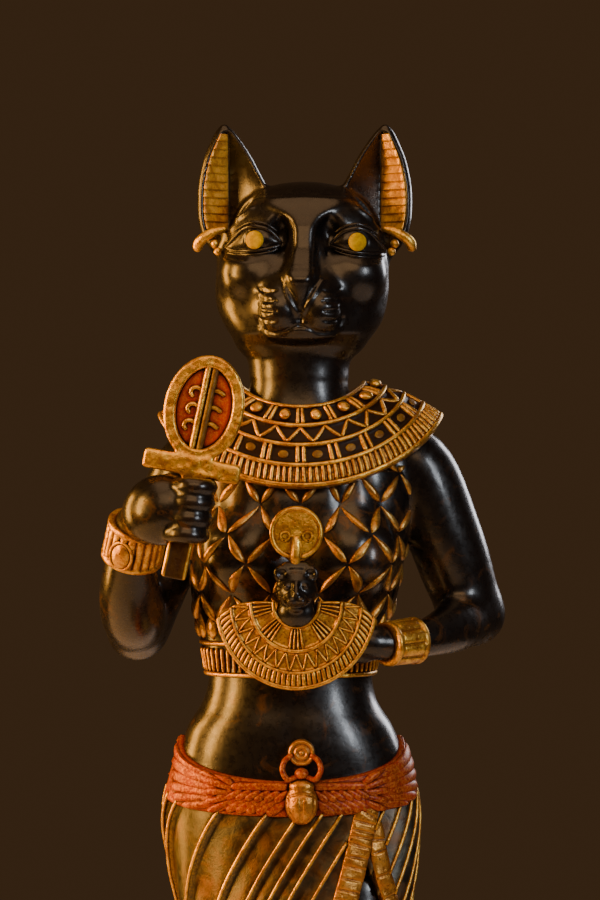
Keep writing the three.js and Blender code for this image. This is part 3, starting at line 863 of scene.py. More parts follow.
# An ear by height: middle, half width, depth in front and behind
earRows = [
    [243, 12.6, 2.8, 2.6, 3.4],
    [247, 13.4, 5.5, 3.6, 5],
    [251, 13.4, 7, 4, 5.4],
    [255, 13.5, 7.2, 3.9, 5.2],
    [258, 13.9, 6.7, 3.6, 4.8],
    [261, 14.4, 5.7, 3.1, 4.2],
    [264, 14.8, 4.5, 2.6, 3.5],
    [266.6, 15.1, 3.1, 2.0, 2.7],
    [268.8, 15.4, 1.7, 1.3, 1.7],
    [270.1, 15.5, 0.5, 0.5, 0.6],
]
earAt = profile(earRows)
earCup = {
    "depthMiddle": -1.5,
    "crease": 14.7,  # where the ribbed wall meets the black one
    "creaseDepth": 1.9,
    "rimDepth": -3.1,
    "ribs": 12,
    "rib": 0.7,
    "outerRim": 1.15,
    "innerRim": 0.6,
    "bottom": 249.4,
    "top": 268.6,
}


def earLine(across, z):
    # The y of an ear's hollow, at a distance from the ears' middle; negative in front.
    middle, half = np.moveaxis(earAt(z), -1, 0)[:2]
    outer = middle + half - earCup["outerRim"]
    inner = middle - half + earCup["innerRim"]
    crease = np.clip(earCup["crease"], inner + 0.1, outer - 0.1)
    ribbed, bare = (outer - across) / (outer - crease), (across - inner) / (crease - inner)
    share = np.where(across > crease, ribbed, bare)
    narrow = np.clip((outer - inner) / 9, 0.15, 1)
    deep = (earCup["creaseDepth"] - earCup["rimDepth"]) * narrow
    return earCup["rimDepth"] + deep * np.clip(share, 0, 1) ** 0.85 - 6 * np.clip(-share, 0, 1)


def earHollow(side):
    def distance(x, y, z):
        across = side * (x - headForm["earMiddle"])
        behind = (y - earLine(across, z)) * 0.75
        foot = earCup["bottom"] + np.clip(earCup["crease"] - across, 0, 8) * 1.2
        ends = np.maximum(foot - z, z - earCup["top"])
        return np.maximum(behind, ends * 0.8)

    near, far = sorted(headForm["earMiddle"] + side * reach for reach in (6, 22))
    return [near, -12, 246], [far, 4, 271], distance


def onFace(clay, rows, sink):
    # Rows of [x, z, radius] laid on the front of the clay; sink is how deep their middles lie.
    rows = np.array(rows, float)
    y = clay.front(rows[:, 0], rows[:, 1]) + sink
    return np.column_stack([rows[:, 0], y, rows[:, 1], rows[:, 2]])


def laidLine(clay, rows, sink, steps=5):
    # The same, as a smooth rope through the rows.
    rows = np.array(rows, float)
    line = flowing(np.column_stack([rows[:, 0], rows[:, 0] * 0, rows[:, 1], rows[:, 2]]), steps)
    return rope(onFace(clay, line[:, [0, 2, 3]], sink), smoothly=False)


def sculptHead():
    form = headForm
    clay = Clay(*form["box"], form["cell"])
    clay.add(lofted(trunkAt, 211, 226, trunkSquareness))
    clay.add(lofted(skullAt, 221.2, 255.5, 2.3), 0.6)
    for part, soft in (("crown", 0.6), ("snout", 3), ("chin", 1.6)):
        clay.add(ball(*form[part]), soft)
    cheek, radii = form["cheek"]
    earMiddle = form["earMiddle"], earCup["depthMiddle"]
    for side in bothSides:
        clay.add(ball(mirrored([cheek], side, 0.2)[0], radii, (0, 0, side * 28)), 3)
        clay.add(lofted(earAt, 243, 270.1, 2, earMiddle, side), 1.2)
    for side in bothSides:
        for socket, radii, turn, soft in form["sockets"]:
            middle = mirrored([socket], side, form["eyeMiddle"])[0]
            clay.cut(ball(middle, radii, [side * angle for angle in turn]), soft)
    clay.add(lofted(profile(bridgeRows), 239.9, 255.5, 4), 0.7)
    clay.soften()
    sculptEyes(clay)
    sculptMuzzle(clay, form["noseMiddle"])
    for side in bothSides:
        clay.cut(earHollow(side), 0.4)
        for foot in form["earFeet"]:
            clay.add(laidLine(clay, mirrored(foot, side, form["earMiddle"]), 0.1), 0.7)
    return clay


def eyeLine(side, kind, radius, sink):
    # One of the lines round an eye, [x, y, z, radius], thin at its ends.
    line = flowing([[u, 0, z, radius] for u, z in eyeLines[kind]], 8)
    line[:, 3] *= 0.35 + 0.65 * np.sin(np.linspace(0.06, 0.94, len(line)) * math.pi) ** 0.6
    line[:, 1] = eyeDepth(line[:, 0])[:, 0] + sink
    line[:, 2] -= side * headForm["tilt"] * line[:, 0]
    line[:, 0] = headForm["eyeMiddle"] + side * line[:, 0]
    return line


def lids():
    shells = []
    for side in bothSides:
        for kind, (radius, sink) in lidForm.items():
            line = eyeLine(side, kind, radius, sink)
            shells.append(tube(line[:, :3], line[:, 3], 10))
    return shells


upperLid, lowerLid = profile(eyeLines["upper"]), profile(eyeLines["lower"])


def eyeEdges(side, x):
    # The distance from the middle between the eyes, and the z of the upper and lower lid there.
    u = side * (x - headForm["eyeMiddle"])
    drop = side * headForm["tilt"] * u
    return u, upperLid(u)[..., 0] - drop, lowerLid(u)[..., 0] - drop


def eyeHollow(side):
    # The ground round the lids, cleared back to the swell so that the lids can stand on it.
    def distance(x, y, z):
        u, high, low = eyeEdges(side, x)
        beyond = np.maximum(z - high, low - z)
        beyond = np.maximum(beyond, np.maximum((4.6 - u) * 2.4, u - 15.4))
        ground = eyeDepth(u)[..., 0] + 0.1 - 0.9 * np.maximum(beyond - 0.5, 0)
        return np.maximum(y - ground, beyond - 1.9) * 0.75

    near, far = sorted(headForm["eyeMiddle"] + side * reach for reach in (2.5, 17.4))
    return [near, -16, 242.5], [far, -4, 252.5], distance


def eyeSwell(side):
    # The eye itself: an almond between the lids that stands forward in its middle.
    def distance(x, y, z):
        u, high, low = eyeEdges(side, x)
        t = (z - (high + low) / 2) / np.maximum((high - low) / 2, 0.1)
        face = eyeDepth(u)[..., 0] - 0.75 * (1 - np.clip(t * t, 0, 1.4))
        level = np.maximum((face - y) * 0.9, y - face - 5)
        ends = np.maximum(4.7 - u, u - 15.3)
        return np.maximum(np.maximum(level, ends), np.maximum(z - high, low - z))

    near, far = sorted(headForm["eyeMiddle"] + side * reach for reach in (4.5, 15.5))
    return [near, -13, 243], [far, -3, 251], distance


def irisPlace(side):
    x = headForm["eyeMiddle"] + side * headForm["irisSpread"]
    return x, headForm["irisHeight"] - side * headForm["tilt"] * headForm["irisSpread"]


def sculptEyes(clay):
    ring = headForm["irisRadius"] + 0.2
    turns = np.linspace(0, fullTurn, 25)
    for side in bothSides:
        clay.cut(eyeHollow(side), 0.5)
        clay.add(eyeSwell(side), 0.2)
        x, z = irisPlace(side)
        around = [x + ring * np.cos(turns), z + ring * np.sin(turns), turns * 0 + 0.2]
        clay.cut(rope(onFace(clay, np.column_stack(around), -0.05), smoothly=False), 0.1)


muzzleForm = {
    "pad": ([3.75, -14.2, 234.2], [4.0, 4.0, 4.7]),
    "padLean": 14,
    # Lines laid on her front, as [distance from the middle, z, radius]
    "whisker": [[7.9, 0.5, 0.2], [7.2, -0.1, 0.34], [6, -0.35, 0.36], [4.4, -0.3, 0.22]],
    "whiskerTop": 237.7,
    "whiskerStep": 1.85,
    "whiskers": 4,
    "cleft": [[0.1, 232.8, 0.3], [0.1, 231.9, 0.4], [0.1, 230.9, 0.35]],
    "mouth": [[8.2, 232.4], [7.4, 230.7], [5.6, 229.6], [3.6, 229.6], [1.8, 230.4]],
    "mouthMiddle": 230.9,
    "mouthRadius": 0.36,
    "lip": (-6.4, -3.4, 0, 3.4, 6.4),
}


def sculptMuzzle(clay, m):
    form = muzzleForm
    pad, radii = form["pad"]
    for side in bothSides:
        clay.add(ball(mirrored([pad], side, m)[0], radii, (0, 0, side * form["padLean"])), 0.6)
    clay.add(lofted(profile(noseRows), 233.4, 242, 3.4), 0.6)
    for side in bothSides:
        wide = 1 + 0.2 * side
        nostril = [[3.6 * wide, 239.5, 0.3 * wide], [2.4, 236.4, 0.42 * wide], [0.35, 232.9, 0.3]]
        clay.add(laidLine(clay, mirrored(nostril, side, m), 0), 0.35)
        for i in range(form["whiskers"]):
            level = form["whiskerTop"] - form["whiskerStep"] * i
            groove = [[u, level + z, radius] for u, z, radius in form["whisker"]]
            clay.cut(laidLine(clay, mirrored(groove, side, m), 0.08, 4), 0.15)
    clay.cut(laidLine(clay, mirrored(form["cleft"], 1, m), 0), 0.3)
    rows = [[u, z, form["mouthRadius"]] for u, z in form["mouth"]]
    mouth = [*mirrored(rows, -1, m), [m, form["mouthMiddle"], form["mouthRadius"]]]
    clay.cut(laidLine(clay, mouth + mirrored(rows[::-1], 1, m), 0.05, 4), 0.3)
    lip = [[m + x, 228.9 + 0.012 * x * x, 0.55] for x in form["lip"]]
    clay.add(laidLine(clay, lip, 0.25), 0.6)


def irises(clay):
    shells = []
    for side in bothSides:
        x, z = irisPlace(side)
        y = float(clay.front(x, z)) - 0.02
        lean = math.atan2(float(clay.front(x + 1, z) - clay.front(x - 1, z)), 2)
        points, faces = dome([0, 0, 0], [headForm["irisRadius"], 0.55, headForm["irisRadius"]])
        cos, sin = math.cos(lean), math.sin(lean)
        shells.append((points @ [[cos, sin, 0], [-sin, cos, 0], [0, 0, 1]] + [x, y, z], faces))
    return shells


def makeHead():
    clay = sculptHead()
    addPiece("head", [clay.skin(), *lids()], "blackGloss")
    addPiece("irises", irises(clay), "irisPaint")


# Arms, from the shoulders, as rows of [x, y, z, radius]

rightElbow, rightWrist = [-32, 5.6, 172.4], [-30.6, -22.4, 193]
leftElbow, leftWrist = [33.4, 7.2, 175.4], [16.4, -14.6, 170.9]
bodyForm = {
    "box": ((-41, -38, 136), (42, 21, 218)),
    "cell": 0.53,
    "bust": ([9.8, -9.2, 188.2], [8, 6, 8]),
    "bustMiddle": -0.6,
    "belly": [[-1.6, -14.6, 164, 0.8], [-1.8, -15, 152, 1]],  # the hollow down it
    "upperArms": (
        [
            [-17, 1, 206.6, 6.4], [-21.6, 1.4, 203.6, 6.9], [-26.2, 3, 190, 7.2],
            [-30, 5, 178, 6.4], [*rightElbow, 5],
        ],
        [
            [17, 1, 206.6, 6.4], [21.8, 1.4, 204.4, 7], [27.2, 3.4, 192, 7.3],
            [30.8, 5.6, 182, 6.8], [*leftElbow, 5.4],
        ],
    ),
    "forearms": (
        [
            [*rightElbow, 5.3], [-32.4, -6, 176.4, 6.2], [-32.6, -14, 181.6, 5.6],
            [-32, -19, 187.6, 4.7], [*rightWrist, 4.4],
        ],
        [[*leftElbow, 5.4], [29.4, -1.4, 173.4, 4.9], [23.4, -9, 171.6, 3.6], [*leftWrist, 3.1]],
    ),
}
handForm = {
    "palm": [
        [*rightWrist, 4], [-28.4, -26.6, 195.4, 4.8],
        [-25, -29.4, 197, 5.2], [-22.6, -30, 196.8, 4.8],
    ],
    "fist": ([-26.2, -29.4, 196.4], [6.8, 5.2, 6.5], (0, 6, -10)),
    "finger": [  # the top one, from its knuckle round the shaft
        [-22.8, -33, 200.9, 1.5],
        [-21, -34.2, 201, 1.7],
        [-18.8, -34.4, 200.8, 1.62],
        [-17, -32.2, 200.7, 1.6],
        [-18.4, -29.6, 200.6, 1.5],
    ],
    "fingerStep": [-0.5, 0, -2.95, 0],
    "thumb": [[-29.4, -26.4, 198.6, 2.3], [-24.4, -26.8, 201.6, 1.8], [-19.4, -28.8, 201.6, 1.4]],
    "leftPalm": [[*leftWrist, 3.1], [13, -16, 171.2, 3.3], [8.6, -16.2, 171.6, 2.8]],
    "leftFinger": [[12, -16.2, 174.6, 1.2], [8, -16.6, 174.6, 1.15], [4, -16.2, 174.4, 1.0]],
    "leftFingerStep": [0, 0, -2.1, 0],
    "fingers": 4,
}


def sculptTorso(clay):
    clay.add(lofted(trunkAt, 134, 217, trunkSquareness))
    middle, radii = bodyForm["bust"]
    for side in bothSides:
        clay.add(ball(mirrored([middle], side, bodyForm["bustMiddle"])[0], radii, (-14, 0, 0)), 3)


def sculptHands(clay):
    form = handForm
    clay.add(rope(form["palm"]), 1.4)
    clay.add(ball(*form["fist"]), 2)
    for i in range(form["fingers"]):
        clay.add(rope(np.array(form["finger"]) + np.array(form["fingerStep"]) * i, 4), 0.35)
    clay.add(rope(form["thumb"]), 0.8)
    clay.add(rope(form["leftPalm"]), 1)
    for i in range(form["fingers"]):
        clay.add(rope(np.array(form["leftFinger"]) + np.array(form["leftFingerStep"]) * i, 3), 0.4)


def makeSkin():
    form = bodyForm
    torso = Clay((-26, -22, 158), (26, 20, 210), 0.5)
    sculptTorso(torso)
    clay = Clay(*form["box"], form["cell"])
    sculptTorso(clay)
    clay.cut(rope(form["belly"]), 2.4)
    for rows in form["upperArms"]:
        clay.add(rope(rows), 2.5)
    for rows in form["forearms"]:
        clay.add(rope(rows), 3.4)
    sculptHands(clay)
    clay.soften()
    addPiece("skin", [clay.skin()], "blackRubbed")
    return torso


# Geometry Nodes: small stamps set on points, and round wires along paths.
# Both are baked flat, as (along, across, proud) in millimetres, and then wrapped onto her.

def newTree(name, inputs):
    tree = bpy.data.node_groups.new(name, "GeometryNodeTree")
    tree.interface.new_socket("Geometry", in_out="INPUT", socket_type="NodeSocketGeometry")
    tree.interface.new_socket("Geometry", in_out="OUTPUT", socket_type="NodeSocketGeometry")
    for title, kind, value in inputs:
        socket = tree.interface.new_socket(title, in_out="INPUT", socket_type=kind)
        if value is not None:
            socket.default_value = value
    return tree, addNode(tree, "NodeGroupInput"), addNode(tree, "NodeGroupOutput")


def closeTree(tree, start, end, geometry):
    whole = addNode(tree, "GeometryNodeRealizeInstances", {"Geometry": geometry})
    inputs = {"Geometry": whole.outputs[0], "Material": start.outputs["Finish"]}
    dressed = addNode(tree, "GeometryNodeSetMaterial", inputs)
    tree.links.new(dressed.outputs[0], end.inputs["Geometry"])
    return tree


def stampTree():
    inputs = [("Stamp", "NodeSocketObject", None), ("Finish", "NodeSocketMaterial", None)]
    tree, start, end = newTree("stampTree", inputs)
    shape = addNode(tree, "GeometryNodeObjectInfo", {"Object": start.outputs["Stamp"]})
    attribute = "GeometryNodeInputNamedAttribute"
    spin = addNode(tree, attribute, {"Name": "spin"}, data_type="FLOAT")
    size = addNode(tree, attribute, {"Name": "size"}, data_type="FLOAT_VECTOR")
    turn = addNode(tree, "ShaderNodeCombineXYZ", {"Z": spin.outputs[0]})
    placed = addNode(tree, "GeometryNodeInstanceOnPoints", {
        "Points": start.outputs["Geometry"],
        "Instance": shape.outputs["Geometry"],
        "Rotation": turn.outputs[0],
        "Scale": size.outputs[0],
    })
    return closeTree(tree, start, end, placed.outputs[0])


def wireTree():
    inputs = [
        ("Radius", "NodeSocketFloat", 0.3),
        ("Step", "NodeSocketFloat", 0.6),
        ("Sides", "NodeSocketInt", 6),
        ("Finish", "NodeSocketMaterial", None),
    ]
    tree, start, end = newTree("wireTree", inputs)
    line = addNode(tree, "GeometryNodeMeshToCurve", {"Mesh": start.outputs["Geometry"]})
    even = {"Curve": line.outputs[0], "Length": start.outputs["Step"]}
    spaced = addNode(tree, "GeometryNodeResampleCurve", even, mode="LENGTH")
    section = {"Resolution": start.outputs["Sides"], "Radius": start.outputs["Radius"]}
    circle = addNode(tree, "GeometryNodeCurvePrimitiveCircle", section, mode="RADIUS")
    swept = addNode(tree, "GeometryNodeCurveToMesh", {
        "Curve": spaced.outputs[0],
        "Profile Curve": circle.outputs[0],
        "Fill Caps": True,
    })
    return closeTree(tree, start, end, swept.outputs[0])


trees = {"stamp": stampTree(), "wire": wireTree()}


def plainShell(mesh):
    # The points and faces of a mesh, its faces grouped by their number of corners.
    points = np.zeros(len(mesh.vertices) * 3)
    mesh.vertices.foreach_get("co", points)
    starts = np.zeros(len(mesh.polygons), np.int32)
    sizes = np.zeros(len(mesh.polygons), np.int32)
    loops = np.zeros(len(mesh.loops), np.int32)
    mesh.polygons.foreach_get("loop_start", starts)
    mesh.polygons.foreach_get("loop_total", sizes)
    mesh.loops.foreach_get("vertex_index", loops)
    faceSets = []
    for size in np.unique(sizes):
        first = starts[sizes == size]
        faceSets.append(loops[first[:, None] + np.arange(size)])
    return points.reshape(-1, 3), faceSets


def baked(mesh, tree, values):
    holder = newObject("holder", mesh)
    modifier = holder.modifiers.new("shape", "NODES")
    modifier.node_group = tree
    for item in tree.interface.items_tree:
        if item.in_out == "INPUT" and item.name in values:
            modifier[item.identifier] = values[item.name]
    graph = bpy.context.evaluated_depsgraph_get()
    result = bpy.data.meshes.new_from_object(holder.evaluated_get(graph), depsgraph=graph)
    shell = plainShell(result)
    bpy.data.objects.remove(holder)
    bpy.data.meshes.remove(result)
    return shell


stampObjects = {}


def stampObject(name, shell):
    stampObjects[name] = newObject(name, newMesh(name, *outward(shell)))


def clearStamps():
    for made in stampObjects.values():
        bpy.data.objects.remove(made)
    stampObjects.clear()


def crossSections(rows, sides):
    # A raised form along y: rows of [y, half width, height], closed below.
    turns = np.linspace(0, math.pi, sides)
    sink = stampForm["sink"]
    rings = []
    for y, half, height in rows:
        over = [[-half * math.cos(turn), y, height * math.sin(turn) ** 0.8] for turn in turns]
        rings.append(over + [[half * 0.9, y, -sink], [-half * 0.9, y, -sink]])
    return loft(rings)


# Every stamp is one wide, one long and one high; a spot gives it its sizes
stampForm = {
    "sink": 0.35,
    "bar": [
        [-0.5, 0.32, 0.5], [-0.44, 0.45, 0.85], [-0.34, 0.5, 1], [-0.12, 0.5, 1],
        [0.12, 0.5, 1], [0.34, 0.5, 1], [0.44, 0.45, 0.85], [0.5, 0.32, 0.5],
    ],
    "feather": [
        [0, 0.3, 0.5], [0.1, 0.36, 0.7], [0.2, 0.4, 0.85], [0.3, 0.43, 0.9],
        [0.4, 0.46, 0.95], [0.5, 0.48, 1], [0.6, 0.5, 1], [0.7, 0.5, 1],
        [0.8, 0.49, 0.98], [0.88, 0.44, 0.92], [0.95, 0.32, 0.75], [1, 0.14, 0.4],
    ],
    "boss": [(0.5, -0.35), (0.5, 0.5), (0.46, 0.78), (0.36, 0.94), (0.2, 1.0)],
}


def makeStamps():
    stampObject("bar", crossSections(stampForm["bar"], 7))
    leaf = []
    for y in np.linspace(0, 1, 9):
        half = 0.5 * math.sin(math.pi * y ** 0.8) + 0.02
        leaf.append([y, half, 0.25 + 0.75 * math.sin(math.pi * y ** 0.7)])
    stampObject("leaf", crossSections(leaf, 5))
    stampObject("feather", crossSections(stampForm["feather"], 7))
    stampObject("boss", spun(stampForm["boss"], 18, [0, 0, 0], *np.eye(3)))


def stamped(kind, spots, finish):
    # spots: rows of [along, across, proud, spin in degrees, width, length, height]
    spots = np.array(spots, float)
    mesh = bpy.data.meshes.new("spots")
    mesh.vertices.add(len(spots))
    mesh.vertices.foreach_set("co", spots[:, :3].astype(np.float32).ravel())
    setMark(mesh, "spin", "FLOAT", spots[:, 3] * degree)
    setMark(mesh, "size", "FLOAT_VECTOR", spots[:, 4:7])
    return baked(mesh, trees["stamp"], {
        "Stamp": stampObjects[kind],
        "Finish": finishes[finish][0],
    })


def wired(paths, radius, step, finish):
    # paths: runs of [along, across, proud]
    points = np.concatenate([np.array(path, float) for path in paths])
    edges = []
    start = 0
    for path in paths:
        edges.extend((start + i, start + i + 1) for i in range(len(path) - 1))
        start += len(path)
    mesh = bpy.data.meshes.new("paths")
    mesh.from_pydata(points.tolist(), edges, [])
    finish = finishes[finish][0]
    return baked(mesh, trees["wire"], {"Radius": radius, "Step": step, "Finish": finish})


class Band:
    # A surface round her, point(turn, share, proud), reached by mm from her front and across.
    def __init__(self, point, width, share):
        count = 1440
        self.point, self.width = point, width
        self.turns = np.linspace(-math.pi, math.pi, count + 1)
        ring = point(self.turns, np.full(count + 1, share), np.zeros(count + 1))
        lengths = lengthsAlong(ring)
        self.length = lengths[-1]
        self.lengths = lengths - lengths[count // 2]

    def wrap(self, shell):
        points, faceSets = shell
        half = self.length / 2
        along = (points[:, 0] + half) % self.length - half
        turn = np.interp(along, self.lengths, self.turns)
        placed = self.point(turn, points[:, 1] / self.width, points[:, 2])
        return outward((placed, faceSets))

    def places(self, count, shift=0.5):
        return (np.arange(count) + shift) * self.length / count - self.length / 2


def around(turn, middle, half, front, back, squareness):
    # A point on a level cut: turn 0 is her front, and a quarter turn is her left side.
    across, ahead = np.sin(turn), np.cos(turn)
    reach = (np.abs(across) ** squareness + np.abs(ahead) ** squareness) ** (-1 / squareness)
    depth = np.where(ahead > 0, front, back)
    return middle + half * across * reach, -depth * ahead * reach


# The broad collar

collarForm = {
    "inner": {
        "half": 11.2, "front": 11, "back": 11.4, "frontZ": 215.6, "sideZ": 219, "backZ": 216.4,
    },
    "outer": {"half": 27, "front": 15.4, "back": 16.4, "frontZ": 200, "sideZ": 212.6, "backZ": 202},
    "wall": 1.3,
    "width": 15.8,  # mm from rim to rim in front
    "rims": [[0, 0.06], [0.262, 0.312], [0.5, 0.545], [0.73, 0.78], [0.95, 1]],
    "rimProud": 0.55,
    "cells": 15,
    "zigzags": 22,
    "blocks": 20,
    "fringe": 118,
    # Width, length and height; a bar is as long as its row is wide
    "boss": [2.8, 2.35, 1.2],
    "pad": [1.9, 1.5, 0.25],
    "pairBar": [1.15, 0.6],
    "blockBar": [0.85, 0.5],
    "fringeBar": [0.66, 0.5],
    "zigzag": 0.44,
    "padWear": 0.72,
}


def collarPoint(turn, share, proud):
    inner, outer = collarForm["inner"], collarForm["outer"]
    ahead = np.cos(turn)
    dip = np.abs(ahead) ** 1.6
    share = np.clip(share, 0, 1)

    def edgeZ(edge):
        return mix(edge["sideZ"], np.where(ahead > 0, edge["frontZ"], edge["backZ"]), dip)

    out = mix(share, 1 - (1 - share) ** 1.5, dip)
    drop = mix(share ** 1.7, share ** 1.12, dip)
    grow = proud * mix(0.35, 1, dip)
    sides = ("half", "front", "back")
    half, front, back = (mix(inner[side], outer[side], out) + grow for side in sides)
    x, y = around(turn, -0.3, half, front, back, 2)
    return stacked(x, y, mix(edgeZ(inner), edgeZ(outer), drop) + proud * mix(1, 0.3, dip))


def rimRelief(share, rims, proud):
    relief = np.zeros_like(share)
    for start, stop in rims:
        t = np.abs(share - (start + stop) / 2) / ((stop - start) / 2)
        relief = np.maximum(relief, proud * np.sqrt(np.clip(1.25 - t ** 2, 0, 1)))
    return relief


def rimShares(rims, between=3):
    # Rows that follow each rim's round back closely and the floors between loosely.
    shares = []
    for start, stop in rims:
        middle, half = (start + stop) / 2, (stop - start) / 2
        shares.extend(middle + half * np.array([-1.18, -1.1, -0.9, -0.45, 0, 0.45, 0.9, 1.1, 1.18]))
    floors = [np.linspace(a[1], b[0], between + 2)[1:-1] for a, b in zip(rims, rims[1:])]
    return np.unique(np.clip(np.concatenate([shares, *floors]), rims[0][0], rims[-1][1]))


def rowsBetween(rims, width):
    # The middle and the width, in mm, of each row between two rims.
    pairs = [(a[1] * width, b[0] * width) for a, b in zip(rims, rims[1:])]
    return [(a + b) / 2 for a, b in pairs], [b - a for a, b in pairs]


def zigzagLines(start, step, leans, foot, peak, proud):
    lines = []
    for i, lean in enumerate(leans):
        left = start + i * step
        turn = [left + step / 2 + lean, peak, proud]
        lines.append([[left, foot, proud], turn])
        lines.append([turn, [left + step, foot, proud]])
    return lines


def makeCollar():
    form = collarForm
    wall, width, rims = form["wall"], form["width"], form["rims"]
    gold = "antiqueGold"
    shares = rimShares(rims)
    count = 300
    turns = roundTurns(count)
    relief = rimRelief(shares, rims, form["rimProud"])
    back = [0.97, 0.5, 0.03]
    allShares = np.concatenate([shares, back])
    proud = np.concatenate([wall + relief, np.full(len(back), -2.2)])
    proud = np.broadcast_to(proud, (count, len(proud)))
    rings = collarPoint(turns[:, None], allShares[None], proud)
    # Floors between the upper rims are marked to take the full wash: antiquing with painted shade
    floor = np.concatenate([(relief < 0.1) & (shares < rims[3][0]), np.zeros(len(back))])
    marks = {"floor": np.broadcast_to(floor, proud.shape).ravel()}
    addPiece("collar", [hoop(rings)], gold, marks)

    band = Band(collarPoint, width, 0.6)
    rng = np.random.default_rng(11)
    rows, lengths = rowsBetween(rims, width)

    def wobble(size):
        return rng.normal(0, size)

    bosses, pads, bars = [], [], []
    for place in band.places(form["cells"], 0):
        bosses.append([place, rows[0] + wobble(0.08), wall, 0, *form["boss"]])
    gap = band.length / form["cells"] / 2
    wide, high = form["pairBar"]
    for place in band.places(form["cells"], 0):
        for step in (-0.6, 0.6):
            along = place + gap + step + wobble(0.06)
            bars.append([along, rows[0], wall, wobble(2), wide, lengths[0] + 0.5, high])
    gap = band.length / form["blocks"] / 2
    wide, high = form["blockBar"]
    for place in band.places(form["blocks"], 0):
        for step in (-0.55, 0.55):
            along = place + step + wobble(0.05)
            bars.append([along, rows[2], wall, wobble(2), wide, lengths[2] + 0.5, high])
        pads.append([place + gap, rows[2] + wobble(0.15), wall, 0, *form["pad"]])
    wide, high = form["fringeBar"]
    for place in band.places(form["fringe"]):
        along, lean = place + wobble(0.04), wobble(1.2)
        bars.append([along, rows[3], wall, lean, wide, lengths[3] + 0.5, high + wobble(0.03)])
    leans = [wobble(0.12) for _ in range(form["zigzags"])]
    foot, peak = rims[1][1] * width + 0.1, rims[2][0] * width - 0.1
    zigzag = zigzagLines(-band.length / 2, band.length / len(leans), leans, foot, peak, wall)
    shells = [
        band.wrap(stamped("boss", pads, gold)),
        band.wrap(stamped("boss", bosses, gold)),
        band.wrap(stamped("bar", bars, gold)),
        band.wrap(wired(zigzag, form["zigzag"], 0.6, gold)),
    ]
    worn = [form["padWear"], 0, 0, 0]
    marks = {"floor": np.repeat(worn, [len(points) for points, _ in shells])}
    addPiece("collarBeads", shells, gold, marks)


# The corselet: a quilted bodice with leaves on its lattice, a row of buds and a ribbed band

corseletForm = {
    "top": 203.5,
    "bottom": 164.4,
    "cloth": 0.5,
    "quilt": 0.55,
    "columns": 12,
    "rowPitch": 5.7,
    "firstRow": 197.2,
    "rows": 4,
    "leaf": [1.75, 6.7, 0.95],
    "budFoot": 171.2,
    "bud": [2.9, 4.9, 1.0],
    "buds": 30,
    "bandTop": 170.2,
    "rib": [0.85, 4.6, 0.7],
    "ribs": 66,
    "rim": 0.5,
}


def makeCorselet(torso):
    form = corseletForm
    cloth = form["cloth"]
    levels = np.linspace(form["bottom"] - 1, form["top"] + 1, 84)
    turns = np.linspace(-math.pi, math.pi, 361)
    # How far out her trunk reaches, by height and turn
    middle = trunkAt(levels)[:, 0]
    origins = stacked(middle, 0, levels)[:, None] + np.zeros((len(turns), 3))
    ways = stacked(np.sin(turns), -np.cos(turns), 0) + np.zeros((len(levels), 1, 1))
    reach = torso.reach(origins, ways, 27, 4, 0.25)

    def point(turn, share, proud):
        z = np.clip(share * 100, levels[0], levels[-1])
        row = (z - levels[0]) / (levels[1] - levels[0])
        column = (np.asarray(turn) + math.pi) / (turns[1] - turns[0])
        i = np.clip(row.astype(int), 0, len(levels) - 2)
        j = np.clip(column.astype(int), 0, len(turns) - 2)
        below, above = (mix(reach[k, j], reach[k, j + 1], column - j) for k in (i, i + 1))
        radius = mix(below, above, row - i) + proud
        x = np.interp(z, levels, middle) + radius * np.sin(turn)
        return stacked(x, -radius * np.cos(turn), z)

    band = Band(point, 100, 1.86)
    pitch = band.length / form["columns"]
    rise = form["rowPitch"]

    def quilted(z, turn):
        along = np.interp(turn, band.turns, band.lengths) / pitch
        up = (z - form["firstRow"]) / rise / 2
        pad = np.abs(np.sin(math.pi * (along + up)) * np.sin(math.pi * (along - up))) ** 0.6
        return form["quilt"] * pad * smooth((z - form["bandTop"] - 6) / 3)

    heights = np.linspace(form["bottom"], form["top"], 120)
    z2, turn2 = np.meshgrid(heights, turns[:-1], indexing="ij")
    outside = point(turn2, z2 / 100, cloth + quilted(z2, turn2))
    inside = point(turn2[::-17], z2[::-17] / 100, -1.5)
    addPiece("corselet", [hoop(np.concatenate([outside, inside]))], "blackQuilt")

    leaves, buds, ribs = [], [], []
    rng = np.random.default_rng(5)
    angle = math.degrees(math.atan2(pitch / 2, rise))
    edge = math.hypot(pitch / 2, rise)
    for row in range(-1, form["rows"] + 1):
        level = form["firstRow"] - row * rise
        for column in range(form["columns"]):
            place = (column + (0.5 if row % 2 else 0.0)) * pitch
            for side in bothSides:
                lean = -side * angle + rng.normal(0, 2)
                if level + edge < form["budFoot"] + 5.4:
                    continue
                gap = (edge - form["leaf"][1]) / 2
                x, z = -math.sin(lean * degree) * gap, math.cos(lean * degree) * gap
                leaves.append([place + x, level + z, cloth, lean, *form["leaf"]])
    for place in band.places(form["buds"]):
        lean = rng.normal(0, 2)
        buds.append([place, form["budFoot"], cloth - 0.1, lean, *form["bud"]])
    ribLevel = (form["bandTop"] + form["bottom"]) / 2
    for place in band.places(form["ribs"]):
        ribs.append([place, ribLevel, cloth, 0, *form["rib"]])
    rims = []
    for level in (form["bandTop"] + 0.3, form["bottom"] + 0.2):
        ways = np.linspace(-0.5, 0.5, 241) * band.length
        rims.append([[along, level, cloth + 0.1] for along in ways])
    gold, dullGold = "antiqueGold", "dullGold"
    shells = [band.wrap(stamped("leaf", leaves, dullGold))]
    addPiece("corseletLeaves", shells, dullGold)
    addPiece("corseletBand", [
        band.wrap(stamped("leaf", buds, gold)),
        band.wrap(stamped("bar", ribs, gold)),
        band.wrap(wired(rims, form["rim"], 0.8, gold)),
    ], gold)


# The wrapped skirt, the winged belt over it and the bands that hang at its slit

